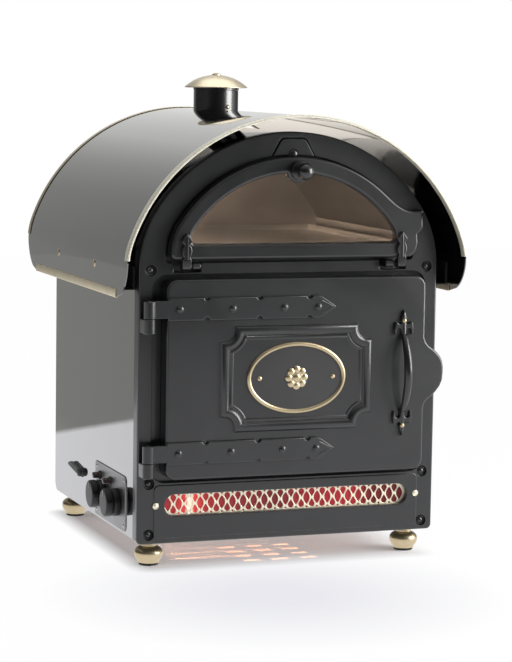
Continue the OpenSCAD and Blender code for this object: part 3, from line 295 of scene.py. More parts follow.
def put(name, shells, body, look, stands=(), sharp=34):
    # makes a piece that rides on a body, in place of the CAD nodes that it stands for
    verts, faces = joined(shells)
    mesh = bpy.data.meshes.new(name)
    mesh.from_pydata([(x * mm, y * mm + faceY, z * mm) for x, y, z in verts], [], faces)
    bm = bmesh.new()
    bm.from_mesh(mesh)
    bmesh.ops.dissolve_degenerate(bm, dist=1e-7, edges=bm.edges)
    bmesh.ops.recalc_face_normals(bm, faces=bm.faces)
    bm.to_mesh(mesh)
    bm.free()
    mesh.shade_smooth()
    mesh.set_sharp_from_angle(angle=math.radians(sharp))
    mesh.materials.append(finish[look])
    obj = bpy.data.objects.new(name, mesh)
    bpy.context.scene.collection.objects.link(obj)
    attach(obj, body)
    if stands:
        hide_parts(*stands)


def newGroup(name, inputs, outputs):
    group = bpy.data.node_groups.new(name, "ShaderNodeTree")
    for label, kind, value in inputs:
        socket = group.interface.new_socket(name=label, in_out="INPUT", socket_type=kind)
        socket.default_value = value
    for label, kind in outputs:
        group.interface.new_socket(name=label, in_out="OUTPUT", socket_type=kind)
    return group, group.nodes.new("NodeGroupInput"), group.nodes.new("NodeGroupOutput")


def addNode(tree, kind, **values):
    node = tree.nodes.new(kind)
    for key, value in values.items():
        if hasattr(node, key):
            setattr(node, key, value)
        else:
            node.inputs[key.replace("_", " ")].default_value = value
    return node


def objectTexture(tree, kind, **values):
    # a node that takes the object's own coordinates
    node = addNode(tree, kind, **values)
    tree.links.new(addNode(tree, "ShaderNodeTexCoord").outputs["Object"], node.inputs["Vector"])
    return node


def scaledTexture(group, given, kind, **values):
    # the same, scaled by the group's input
    node = addNode(group, kind, **values)
    scaled = objectTexture(group, "ShaderNodeVectorMath", operation="SCALE")
    group.links.new(given.outputs["Scale"], scaled.inputs["Scale"])
    group.links.new(scaled.outputs[0], node.inputs["Vector"])
    return node


def mathNode(tree, operation, a, b=None, clamp=False):
    node = tree.nodes.new("ShaderNodeMath")
    node.operation, node.use_clamp = operation, clamp
    for socket, value in zip(node.inputs, (a, b)):
        if value is None:
            continue
        if isinstance(value, (int, float)):
            socket.default_value = value
        else:
            tree.links.new(value, socket)
    return node.outputs[0]


def mapRange(tree, value, low, high, toLow, toHigh):
    node = tree.nodes.new("ShaderNodeMapRange")
    tree.links.new(value, node.inputs["Value"])
    for label, number in (("From Min", low), ("From Max", high), ("To Min", toLow), ("To Max", toHigh)):
        node.inputs[label].default_value = number
    return node.outputs["Result"]


def castSkinGroup():
    # fine sand-cast texture under paint: a coarse swell, a fine grain and sparse pits
    group, given, made = newGroup("castSkin", [("Scale", "NodeSocketFloat", 1.0)],
                                  [("Height", "NodeSocketFloat"), ("Pits", "NodeSocketFloat")])
    swell = scaledTexture(group, given, "ShaderNodeTexNoise", Scale=70.0, Detail=2.0)
    grain = scaledTexture(group, given, "ShaderNodeTexNoise", Scale=620.0, Detail=3.0, Roughness=0.6)
    pits = scaledTexture(group, given, "ShaderNodeTexVoronoi", Scale=260.0)
    pitMask = mapRange(group, pits.outputs["Distance"], 0.05, 0.3, 0.0, 1.0)
    height = mathNode(group, "MULTIPLY", swell.outputs["Fac"], 0.55)
    height = mathNode(group, "ADD", height, mathNode(group, "MULTIPLY", grain.outputs["Fac"], 0.35))
    height = mathNode(group, "ADD", height, mathNode(group, "MULTIPLY", pitMask, 0.1))
    group.links.new(height, made.inputs["Height"])
    group.links.new(mathNode(group, "SUBTRACT", 1.0, pitMask), made.inputs["Pits"])
    return group


def edgeWearAndHighlightGroup():
    # bright mask on rounded edges, broken up by noise: partly paint or lacquer worn thin there, partly a
    # painted highlight along the edges
    group, given, made = newGroup("edgeWearAndHighlight", [("Radius", "NodeSocketFloat", 0.0015),
                                               ("Amount", "NodeSocketFloat", 0.5)],
                                  [("Mask", "NodeSocketFloat")])
    rounded = addNode(group, "ShaderNodeBevel", samples=4)
    group.links.new(given.outputs["Radius"], rounded.inputs["Radius"])
    shape = addNode(group, "ShaderNodeNewGeometry")
    dot = addNode(group, "ShaderNodeVectorMath", operation="DOT_PRODUCT")
    group.links.new(rounded.outputs[0], dot.inputs[0])
    group.links.new(shape.outputs["Normal"], dot.inputs[1])
    bend = mapRange(group, dot.outputs["Value"], 0.998, 0.93, 0.0, 1.0)
    patchy = objectTexture(group, "ShaderNodeTexNoise", Scale=55.0, Detail=5.0, Roughness=0.65)
    broken = mapRange(group, patchy.outputs["Fac"], 0.38, 0.62, 0.0, 1.0)
    mask = mathNode(group, "MULTIPLY", bend, broken)
    mask = mathNode(group, "MULTIPLY", mask, given.outputs["Amount"], clamp=True)
    group.links.new(mask, made.inputs["Mask"])
    return group


def smudgeGroup():
    # faint dust and wiping marks on smooth finishes
    group, given, made = newGroup("smudges", [("Scale", "NodeSocketFloat", 1.0)],
                                  [("Mask", "NodeSocketFloat"), ("Fine", "NodeSocketFloat")])
    wide = scaledTexture(group, given, "ShaderNodeTexNoise", Scale=7.0, Detail=5.0, Roughness=0.55,
                         Distortion=0.6)
    fine = scaledTexture(group, given, "ShaderNodeTexNoise", Scale=180.0, Detail=3.0)
    group.links.new(mapRange(group, wide.outputs["Fac"], 0.35, 0.7, 0.0, 1.0), made.inputs["Mask"])
    group.links.new(fine.outputs["Fac"], made.inputs["Fine"])
    return group


def brushedGroup():
    # long fine scratches; they run along the axis on which Along is small
    group, given, made = newGroup("brushedLines", [("Along", "NodeSocketVector", (1.0, 1.0, 1.0))],
                                  [("Lines", "NodeSocketFloat")])
    stretch = objectTexture(group, "ShaderNodeVectorMath", operation="MULTIPLY")
    group.links.new(given.outputs["Along"], stretch.inputs[1])
    lines = addNode(group, "ShaderNodeTexNoise", Scale=900.0, Detail=2.0, Roughness=0.7)
    group.links.new(stretch.outputs[0], lines.inputs["Vector"])
    group.links.new(lines.outputs["Fac"], made.inputs["Lines"])
    return group


effects = {"cast": castSkinGroup(), "wearAndHighlight": edgeWearAndHighlightGroup(), "smudge": smudgeGroup(),
           "brushed": brushedGroup()}


def useEffect(tree, name, **values):
    node = tree.nodes.new("ShaderNodeGroup")
    node.node_tree = effects[name]
    for key, value in values.items():
        node.inputs[key].default_value = value
    return node


def newFinish(name, **values):
    material = bpy.data.materials.new(name)
    material.use_nodes = True
    tree = material.node_tree
    shader = tree.nodes["Principled BSDF"]
    for key, value in values.items():
        label = key.replace("_", " ")
        shader.inputs[label].default_value = value
    return material, tree, shader


def colourMix(tree, mask, low, high):
    node = tree.nodes.new("ShaderNodeMix")
    node.data_type = "RGBA"
    tree.links.new(mask, node.inputs[0])
    for socket, value in ((node.inputs[6], low), (node.inputs[7], high)):
        if isinstance(value, tuple):
            socket.default_value = (*value, 1.0)
        else:
            tree.links.new(value, socket)
    return node.outputs[2]


def bumpTo(tree, shader, height, strength, distance):
    bump = addNode(tree, "ShaderNodeBump", Strength=strength, Distance=distance)
    tree.links.new(height, bump.inputs["Height"])
    tree.links.new(bump.outputs[0], shader.inputs["Normal"])


def castBlack(name="castBlack", tone=(0.0095, 0.0101, 0.0108), rough=0.34):
    material, tree, shader = newFinish(name, IOR=1.5, Coat_Weight=0.45, Coat_Roughness=0.13)
    skin = useEffect(tree, "cast", Scale=1.0)
    wearAndHighlight = useEffect(tree, "wearAndHighlight", Radius=0.0016, Amount=0.35)
    marks = useEffect(tree, "smudge", Scale=1.6)
    base = colourMix(tree, marks.outputs["Mask"], tone, tuple(c * 1.35 for c in tone))
    # rounded edges lighter grey: worn paint and a painted highlight
    base = colourMix(tree, wearAndHighlight.outputs["Mask"], base, (0.13, 0.13, 0.135))
    tree.links.new(base, shader.inputs["Base Color"])
    roughness = mathNode(tree, "MULTIPLY", marks.outputs["Mask"], 0.1)
    roughness = mathNode(tree, "ADD", roughness, rough)
    roughness = mathNode(tree, "ADD", roughness, mathNode(tree, "MULTIPLY", skin.outputs["Pits"], 0.08))
    tree.links.new(roughness, shader.inputs["Roughness"])
    bumpTo(tree, shader, skin.outputs["Height"], 0.35, 0.0005)
    return material


def glossEnamel(name="glossEnamel", rough=(0.03, 0.075), coat=(1.85, 0.015, 1.0), index=2.0):
    material, tree, shader = newFinish(name, IOR=index, Coat_Weight=coat[2], Coat_Roughness=coat[1],
                                       Coat_IOR=coat[0])
    marks = useEffect(tree, "smudge", Scale=0.8)
    base = colourMix(tree, marks.outputs["Mask"], (0.0055, 0.0055, 0.006), (0.008, 0.008, 0.0085))
    tree.links.new(base, shader.inputs["Base Color"])
    tree.links.new(mapRange(tree, marks.outputs["Mask"], 0.0, 1.0, *rough), shader.inputs["Roughness"])
    swell = objectTexture(tree, "ShaderNodeTexNoise", Scale=16.0, Detail=1.0)
    bumpTo(tree, shader, swell.outputs["Fac"], 0.06, 0.002)
    return material


def satinBrass(name="satinBrass", tone=(0.60, 0.50, 0.325), dark=(0.36, 0.28, 0.15), rough=0.30, metal=1.0):
    material, tree, shader = newFinish(name, Metallic=metal)
    marks = useEffect(tree, "smudge", Scale=3.0)
    wearAndHighlight = useEffect(tree, "wearAndHighlight", Radius=0.001, Amount=0.6)
    base = colourMix(tree, mathNode(tree, "MULTIPLY", marks.outputs["Mask"], 0.4), tone, dark)
    # rounded edges paler: worn lacquer and a painted highlight
    base = colourMix(tree, wearAndHighlight.outputs["Mask"], base, (0.95, 0.89, 0.70))
    tree.links.new(base, shader.inputs["Base Color"])
    roughness = mapRange(tree, marks.outputs["Fine"], 0.3, 0.7, rough, rough + 0.12)
    tree.links.new(roughness, shader.inputs["Roughness"])
    bumpTo(tree, shader, marks.outputs["Fine"], 0.12, 0.0003)
    return material


def brushedSteel(name="brushedSteel", tone=(0.60, 0.605, 0.61), along=(0.02, 1.0, 1.0), rough=0.28):
    material, tree, shader = newFinish(name, Metallic=1.0)
    lines = useEffect(tree, "brushed", Along=along)
    marks = useEffect(tree, "smudge", Scale=1.2)
    base = colourMix(tree, lines.outputs["Lines"], tuple(c * 0.82 for c in tone), tone)
    tree.links.new(base, shader.inputs["Base Color"])
    roughness = mapRange(tree, marks.outputs["Mask"], 0.0, 1.0, rough, rough + 0.12)
    tree.links.new(roughness, shader.inputs["Roughness"])
    bumpTo(tree, shader, lines.outputs["Lines"], 0.16, 0.0002)
    return material


def chromeWire():
    material, tree, shader = newFinish("chromeWire", Metallic=1.0)
    marks = useEffect(tree, "smudge", Scale=6.0)
    base = colourMix(tree, marks.outputs["Mask"], (0.80, 0.80, 0.81), (0.62, 0.58, 0.52))
    tree.links.new(base, shader.inputs["Base Color"])
    tree.links.new(mapRange(tree, marks.outputs["Fine"], 0.3, 0.7, 0.1, 0.22), shader.inputs["Roughness"])
    return material


def paintedSheet(name, tone, rough=0.42):
    material, tree, shader = newFinish(name, IOR=1.5)
    marks = useEffect(tree, "smudge", Scale=2.2)
    base = colourMix(tree, marks.outputs["Mask"], tone, tuple(min(1, c * 1.5 + 0.004) for c in tone))
    tree.links.new(base, shader.inputs["Base Color"])
    tree.links.new(mapRange(tree, marks.outputs["Mask"], 0, 1, rough, rough + 0.15), shader.inputs["Roughness"])
    bumpTo(tree, shader, marks.outputs["Fine"], 0.15, 0.0003)
    return material


def mouldedPlastic(name, tone, rough):
    material, tree, shader = newFinish(name, IOR=1.49)
    marks = useEffect(tree, "smudge", Scale=5.0)
    wearAndHighlight = useEffect(tree, "wearAndHighlight", Radius=0.0008, Amount=0.4)
    base = colourMix(tree, marks.outputs["Mask"], tone, tuple(c * 1.6 + 0.002 for c in tone))
    # rounded edges lighter: wear and a painted highlight
    base = colourMix(tree, wearAndHighlight.outputs["Mask"], base, tuple(min(1, c * 4 + 0.03) for c in tone))
    tree.links.new(base, shader.inputs["Base Color"])
    roughness = mapRange(tree, marks.outputs["Fine"], 0.3, 0.7, rough, rough + 0.1)
    tree.links.new(roughness, shader.inputs["Roughness"])
    bumpTo(tree, shader, marks.outputs["Fine"], 0.2, 0.0002)
    return material


def redGlassPaintedGlow():
    # painted glow: the light of the lamp behind the lens is painted into its emission, white hot in front of
    # the lamp, then red, then a deep glow to the far end
    material, tree, shader = newFinish("redGlassPaintedGlow", Roughness=0.32, IOR=1.36, Emission_Strength=1.0)
    lampX, farEnd = -0.1416, 0.36
    parts = objectTexture(tree, "ShaderNodeSeparateXYZ")
    spread = mathNode(tree, "ABSOLUTE", mathNode(tree, "ADD", parts.outputs["X"], -lampX))
    grain = objectTexture(tree, "ShaderNodeTexVoronoi", Scale=430.0)
    ripple = objectTexture(tree, "ShaderNodeTexNoise", Scale=38.0, Detail=3.0)
    wobble = mathNode(tree, "MULTIPLY", mathNode(tree, "SUBTRACT", ripple.outputs["Fac"], 0.5), 0.012)
    spread = mathNode(tree, "ADD", spread, wobble)
    # painted glow colours, set by the distance from the lamp
    ramp = tree.nodes.new("ShaderNodeValToRGB")
    ramp.color_ramp.interpolation = "EASE"
    stops = [(0.0, (1.0, 0.95, 0.86, 1)), (0.010, (1.0, 0.80, 0.62, 1)), (0.020, (0.60, 0.05, 0.045, 1)),
             (0.07, (0.28, 0.022, 0.026, 1)), (0.16, (0.17, 0.018, 0.022, 1)), (0.36, (0.08, 0.014, 0.018, 1)),
             (0.46, (0.20, 0.014, 0.020, 1)), (0.66, (0.30, 0.016, 0.026, 1)), (0.76, (0.05, 0.005, 0.007, 1)),
             (1.0, (0.035, 0.005, 0.006, 1))]
    elements = ramp.color_ramp.elements
    for i, (position, tint) in enumerate(stops):
        element = elements[i] if i < 2 else elements.new(position)
        element.position, element.color = position, tint
    tree.links.new(mathNode(tree, "DIVIDE", spread, farEnd), ramp.inputs["Fac"])
    speckle = mapRange(tree, grain.outputs["Distance"], 0.0, 0.6, 0.72, 1.15)
    tint = tree.nodes.new("ShaderNodeMix")
    tint.data_type, tint.blend_type = "RGBA", "MULTIPLY"
    tint.inputs[0].default_value = 1.0
    tree.links.new(ramp.outputs["Color"], tint.inputs[6])
    tree.links.new(speckle, tint.inputs[7])
    tree.links.new(tint.outputs[2], shader.inputs["Emission Color"])
    base = colourMix(tree, grain.outputs["Distance"], (0.09, 0.004, 0.006), (0.17, 0.010, 0.013))
    tree.links.new(base, shader.inputs["Base Color"])
    bumpTo(tree, shader, grain.outputs["Distance"], 0.35, 0.0006)
    return material


def clearGlass():
    material, tree, shader = newFinish("clearGlass", Transmission_Weight=1.0, IOR=1.45)
    marks = useEffect(tree, "smudge", Scale=1.8)
    base = colourMix(tree, marks.outputs["Mask"], (0.97, 0.975, 0.97), (0.86, 0.85, 0.82))
    tree.links.new(base, shader.inputs["Base Color"])
    tree.links.new(mapRange(tree, marks.outputs["Mask"], 0, 1, 0.01, 0.06), shader.inputs["Roughness"])
    return material


def lampGlass(name, tint, strength):
    material, tree, shader = newFinish(name, Roughness=0.3, Emission_Strength=strength)
    cloud = objectTexture(tree, "ShaderNodeTexNoise", Scale=90.0, Detail=2.0)
    glow = colourMix(tree, cloud.outputs["Fac"], tuple(c * 0.85 for c in tint), tint)
    tree.links.new(glow, shader.inputs["Emission Color"])
    tree.links.new(glow, shader.inputs["Base Color"])
    return material


def pilotLens():
    material, tree, shader = newFinish("pilotLens", Roughness=0.12, IOR=1.5, Coat_Weight=0.6,
                                       Emission_Strength=0.06)
    rings = objectTexture(tree, "ShaderNodeTexWave", Scale=160.0, Distortion=0.4)
    tone = colourMix(tree, rings.outputs["Fac"], (0.045, 0.022, 0.020), (0.10, 0.060, 0.055))
    tree.links.new(tone, shader.inputs["Base Color"])
    tree.links.new(tone, shader.inputs["Emission Color"])
    bumpTo(tree, shader, rings.outputs["Fac"], 0.3, 0.0004)
    return material


def fibre(name, dark, light, scale):
    material, tree, shader = newFinish(name, Roughness=0.95, Sheen_Weight=0.3)
    weave = objectTexture(tree, "ShaderNodeTexNoise", Scale=scale, Detail=6.0, Roughness=0.75, Distortion=1.2)
    tree.links.new(colourMix(tree, weave.outputs["Fac"], dark, light), shader.inputs["Base Color"])
    bumpTo(tree, shader, weave.outputs["Fac"], 0.8, 0.0012)
    return material


finish = {
    "cast": castBlack(),
    "door": castBlack("castDoor", (0.0115, 0.0122, 0.0130), 0.34),
    "hardware": castBlack("castHardware", (0.009, 0.0092, 0.0098), 0.28),
    "badge": castBlack("badgeEnamel", (0.020, 0.020, 0.021), 0.45),
    "enamel": glossEnamel(),
    "pipe": glossEnamel("pipeEnamel", (0.25, 0.32), (1.5, 0.17, 0.65), 1.65),
    "brass": satinBrass(),
    # the front trim's brass is painted near white: a painted highlight along the trim
    "trimBrassPaintedHighlight": satinBrass("trimBrassPaintedHighlight", (0.99, 0.95, 0.80), (0.90, 0.84, 0.66), 0.24, 0.35),
    "capBrass": satinBrass("capBrass", (0.70, 0.62, 0.46), (0.60, 0.52, 0.35), 0.27, 0.85),
    "eaveBrass": satinBrass("eaveBrass", (0.88, 0.80, 0.62), (0.72, 0.64, 0.45), 0.48),
    "fretBrass": satinBrass("fretBrass", (0.99, 0.93, 0.74), (0.90, 0.81, 0.58), 0.32, 0.6),
    "steel": brushedSteel(),
    "steelDeep": brushedSteel("linerSteel", (0.50, 0.50, 0.50), (1.0, 0.02, 1.0), 0.34),
    "control": brushedSteel("controlSteel", (0.36, 0.36, 0.36), (1.0, 0.03, 1.0), 0.36),
    "chrome": chromeWire(),
    "darkSteel": paintedSheet("darkSheet", (0.020, 0.020, 0.021)),
    "knob": mouldedPlastic("knobPlastic", (0.005, 0.005, 0.006), 0.36),
    "plastic": mouldedPlastic("greyPlastic", (0.045, 0.045, 0.045), 0.45),
    "sleeve": mouldedPlastic("sleevePlastic", (0.24, 0.25, 0.235), 0.45),
    "rubber": mouldedPlastic("padRubber", (0.015, 0.015, 0.015), 0.7),
    "ceramic": mouldedPlastic("ceramic", (0.72, 0.69, 0.62), 0.35),
    # red lens, with the lamp's glow painted into its emission
    "redGlassPaintedGlow": redGlassPaintedGlow(),
    "glass": clearGlass(),
    "lamp": lampGlass("lampGlow", (1.0, 0.62, 0.30), 1.0),
    "glowLamp": lampGlass("glowLamp", (1.0, 0.62, 0.36), 4.0),
    "pilot": pilotLens(),
    "wool": fibre("mineralWool", (0.42, 0.36, 0.20), (0.66, 0.58, 0.36), 420.0),
    "rope": fibre("sealRope", (0.10, 0.095, 0.085), (0.30, 0.28, 0.25), 900.0),
    "element": brushedSteel("elementSteel", (0.20, 0.17, 0.15), (1.0, 1.0, 1.0), 0.5),
}
print("finishes made:", len(finish))


casting = {
    "halfWidth": 220, "bottom": 34.5, "corner": 7, "archCentre": 365, "archRadius": 234, "haunch": 150,
    "thick": 20, "bay": 9, "doorBay": (-200.5, 119.3, 202.2, 405.0, 20),
    "mouth": (-171, 139, 182.5, 385.3, 6), "flapBay": (181.5, 421, 202.5, 9.5, 72.5),
    "show": (162, 440.5, 184, 6, 30), "pocket": (132, 171, 407.7), "slot": (0, 87.5, 361, 30),
    "grillePocket": (-200.5, 65.5, 200.5, 109.5, 6),
    "band": (-196, 42, 196, 116.3, 7), "raise": 1.5, "seat": (8, 2.5),
    "bolts": [(s * 203.2, z) for s in (-1, 1) for z in (47.5, 118.5, 411)],
    "keystone": (30.5, 17, 589.5, 9, 1.3), "keyBolt": (569, 1.3), "hinge": (-210.5, -19, 8, (326.9, 129.6), 20),
    "flapAxis": (-8, 416.7), "lug": (136, 148.5, 5.1),
}


def showLoop(halfWidth, bottom, radius, corner, haunch, base=None):
    return archLoop(halfWidth, bottom, radius, casting["archCentre"], corner, haunch, base)


def keystoneLoop(grow=0.0):
    # the foot of the keystone lies on the edge of the flap's bay
    foot, head, top, corner, _ = casting["keystone"]
    radius, centre = casting["flapBay"][2], casting["archCentre"]
    x = foot + grow
    low = centre + math.sqrt(radius ** 2 - x ** 2)
    upper = soften([(x, low), (head + grow, top + grow), (-head - grow, top + grow), (-x, low)],
                   [0, corner, corner, 0], closed=False)
    if grow:
        return upper
    return upper + [(-x + 2 * x * k / 16, centre + math.sqrt(radius ** 2 - (-x + 2 * x * k / 16) ** 2))
                    for k in range(1, 16)]


def flapBayLoop():
    c = casting
    hw, low = c["flapBay"][:2]
    p0, p1, dip = c["pocket"]
    foot = [(-hw, low), (-p1, low), (-p1, dip), (-p0, dip), (-p0, low), (p0, low), (p0, dip),
            (p1, dip), (p1, low), (hw, low)]
    loop, notch = showLoop(*c["flapBay"], base=foot), keystoneLoop(c["keystone"][4])
    keep = [not (abs(x) < notch[0][0] and z > c["archCentre"] + 150) for x, z in loop]
    first, last = keep.index(False), len(keep) - 1 - keep[::-1].index(False)
    return loop[:first] + notch + loop[last + 1:]


def makeCasting():
    c = casting
    outer = archLoop(c["halfWidth"], c["bottom"], c["archRadius"], c["archCentre"], c["corner"], c["haunch"])
    doorBay, mouth = panel(*c["doorBay"], steps=8), panel(*c["mouth"])
    show, slot = showLoop(*c["show"]), stadium(*c["slot"])
    seatR, seatDepth = c["seat"]
    seats = [ringOf(x, z, seatR, 32) for x, z in c["bolts"]]
    shells = [plate(outer, 0, c["bay"], edge=2.6, backEdge=0, holes=[doorBay, flapBayLoop(), slot] + seats,
                    holeEdge=[0.9, 1.4, 1.2] + [0.35] * len(seats)),
              plate(outer, c["bay"], c["thick"], edge=0, backEdge=0.8,
                    holes=[mouth, show, panel(*c["grillePocket"])], holeEdge=1.2)]
    band = panel(*c["band"])
    shells.append(plate(band, -c["raise"], 1, edge=1.5, holes=[slot], holeEdge=1.2))
    shells.append(plate(keystoneLoop(), -c["raise"], c["bay"], edge=1.2, backEdge=0))
    for x, z in c["bolts"]:
        floor = c["bay"] - seatDepth
        seat = [(0, 0), (seatR + 0.5, 0), (seatR + 0.5, floor - 1), (seatR - 1.2, floor), (0, floor)]
        shells.append(lathe(seat, (x, c["bay"], z), "front", 32))
    hx, hy, hr, tops, tall = c["hinge"]
    for low in tops:
        barrel = [(0, 0), (hr - 0.8, 0), (hr, 0.8), (hr, tall - 0.8), (hr - 0.8, tall), (0, tall)]
        shells.append(lathe(barrel, (hx, hy, low), "up", 40))
        web = soften([(hx - hr, hy), (hx + hr, hy), (hx + hr + 1.5, 1), (hx - hr - 0.5, 1)], [0, 0, 3, 3])
        shells.append(plate(web, low + 0.1, low + tall - 0.1, edge=1.2, backEdge=1.2, at=topPoint))
    ay, az = c["flapAxis"]
    x0, x1, r = c["lug"]
    lug = plate(arcPoints(ay, az, r, 90, 270, 14) + [(c["bay"] + 1, az - r), (c["bay"] + 1, az + r)],
                x0, x1, edge=1.4, backEdge=1.4, at=sidePoint)
    shells += [lug, mirrored(lug)]
    put("frontCasting", shells, "cabinet", "cast", ["front_casting"])


def makeBolts():
    shells = []
    seatDepth = casting["seat"][1]
    keyZ, keySize = casting["keyBolt"]
    places = [(x, seatDepth, z, 1) for x, z in casting["bolts"]] + [(0, -casting["raise"], keyZ, keySize)]
    for x, y, z, size in places:
        head = [(0, -1), (5.4, -1), (5.4, 0.9), (5.0, 1.3)] + domeProfile(4.4, 2.4, -1.3)[2:]
        shells.append(lathe([(r * size, h) for r, h in head], (x, y, z), "front", 28))
    put("castingBolts", shells, "cabinet", "hardware", ["casting_bolts"])


makeCasting()
makeBolts()
print("front casting done")


canopy = {
    "halfWidth": 248, "crownRadius": 257, "haunchRadius": 105, "centre": 365, "eave": 375,
    "front": -36.5, "back": 485.5, "corner": 51, "sheet": 1.5, "trimFrom": 427, "trimWide": 11,
    "trimThick": 1.0, "seat": 0.2, "screws": ((120, 308), 412), "eaveTrim": (14.5, 434.5, 11.5),
    "eaveTrimIn": 0.06,
}


def onArc(cx, cz, radius, a):
    return (cx + radius * math.cos(math.radians(a)), cz + radius * math.sin(math.radians(a)), a)


def canopyArch(fromZ=None, count=40):
    # (x, z, outward normal) along the arch from the right eave over the crown to the left one
    c = canopy
    haunchX = c["halfWidth"] - c["haunchRadius"]
    lean = math.sqrt((c["crownRadius"] - c["haunchRadius"]) ** 2 - haunchX ** 2)
    haunchZ = c["centre"] + lean
    turn = math.degrees(math.atan2(lean, haunchX))
    fromZ = c["eave"] if fromZ is None else fromZ
    half = []
    if fromZ < haunchZ:
        steps = 8
        half += [(c["halfWidth"], fromZ + (haunchZ - fromZ) * k / steps, 0.0) for k in range(steps)]
        start = 0.0
    else:
        start = math.degrees(math.asin((fromZ - haunchZ) / c["haunchRadius"]))
    half += [onArc(haunchX, haunchZ, c["haunchRadius"], start + (turn - start) * k / 10) for k in range(10)]
    half += [onArc(0, c["centre"], c["crownRadius"], turn + (90 - turn) * k / count) for k in range(count + 1)]
    whole = half + [(-x, z, 180 - a) for x, z, a in half[-2::-1]]
    return [(x, z, math.cos(math.radians(a)), math.sin(math.radians(a))) for x, z, a in whole]


def makeCanopy():
    c = canopy
    arch = canopyArch()
    rows = 36
    verts, faces = [], []
    for layer in (0.0, -c["sheet"]):
        for x, z, nx, nz in arch:
            drop = max(0.0, c["eave"] + c["corner"] - z)
            cut = c["corner"] - math.sqrt(max(c["corner"] ** 2 - min(drop, c["corner"]) ** 2, 0))
            y0, y1 = c["front"] + cut, c["back"] - cut
            for k in range(rows + 1):
                verts.append((x + nx * layer, y0 + (y1 - y0) * k / rows, z + nz * layer))
    n, wide = len(arch), rows + 1
    for layer in (0, 1):
        base = layer * n * wide
        for i in range(n - 1):
            for k in range(rows):
                a = base + i * wide + k
                faces.append([a, a + 1, a + wide + 1, a + wide])
    rim = [i * wide for i in range(n)] + [(n - 1) * wide + k for k in range(1, wide)]
    rim += [i * wide + rows for i in range(n - 2, -1, -1)] + [k for k in range(rows - 1, 0, -1)]
    for a, b in zip(rim, rim[1:] + rim[:1]):
        faces.append([a, b, b + n * wide, a + n * wide])
    put("canopySheet", [(verts, faces)], "cabinet", "enamel", ["canopy"])


def trimSweep(profile, fromZ):
    # profile holds (outward offset, y) around the closed section
    verts, faces = [], []
    arch = canopyArch(fromZ=fromZ)
    n = len(profile)
    for x, z, nx, nz in arch:
        verts += [(x + nx * u, y, z + nz * u) for u, y in profile]
    for i in range(len(arch) - 1):
        a, b = i * n, (i + 1) * n
        faces += [[a + k, a + (k + 1) % n, b + (k + 1) % n, b + k] for k in range(n)]
    faces += [list(range(n)), list(range((len(arch) - 1) * n, len(arch) * n))[::-1]]
    return verts, faces


def trimSection(edge, direction):
    c = canopy
    t, s, w = c["trimThick"], c["seat"], c["trimWide"]
    raw = [(t + s, w), (t + s, -t - s), (-c["sheet"] - t - s, -t - s), (-c["sheet"] - t - s, w),
           (-c["sheet"] - s, w), (-c["sheet"] - s, -s), (s, -s), (s, w)]
    section = soften(raw, [0.3, 1.0, 1.0, 0.3, 0.3, 0.1, 0.1, 0.3], steps=3)
    return [(u, edge + direction * v) for u, v in section]


def makeTrims():
    c = canopy
    # the front trim takes the near-white brass, a painted highlight; the rear trim keeps the darker cap brass
    put("frontTrim", [trimSweep(trimSection(c["front"], 1), c["trimFrom"])], "cabinet",
        "trimBrassPaintedHighlight", ["canopy_front_trim"])
    put("rearTrim", [trimSweep(trimSection(c["back"], -1), c["trimFrom"])], "cabinet",
        "capBrass", ["canopy_rear_trim"])
    y0, y1, tall = c["eaveTrim"]
    t, s = c["trimThick"], c["seat"]
    x, z = c["halfWidth"] - c["eaveTrimIn"], c["eave"]
    inner, low, high = x - c["sheet"], z - t - s, z - t - s + tall
    section = soften([(x + t + s, low), (x + t + s, high), (x + s, high), (x + s, z - s),
                      (inner - s, z - s), (inner - s, high), (inner - t - s, high), (inner - t - s, low)],
                     [1, 0.3, 0.3, 0.1, 0.1, 0.3, 0.3, 1], steps=3)
    strip = plate(section, y0, y1, edge=0.25, backEdge=0.25, steps=2)
    put("eaveTrims", [strip, mirrored(strip)], "cabinet", "eaveBrass", ["canopy_eave_trims"])
    shells = []
    ys, screwZ = c["screws"]
    profile = [(0, -1), (5.6, -1), (5.6, 0.3)] + domeProfile(5.5, 1.2, 0)[2:]
    for y in ys:
        head = lathe(profile, (x, y, screwZ), "right", 28)
        shells += [head, mirrored(head)]
    put("canopyScrews", shells, "cabinet", "brass", ["canopy_screws"])


makeCanopy()
makeTrims()
print("canopy done")


chimney = {"x": 0, "y": 330, "radius": 33.5, "wall": 1.5, "foot": 574, "top": 654.5,
           "brim": 47, "height": 19, "screwTurn": 13, "screwDrop": 28, "around": 72}


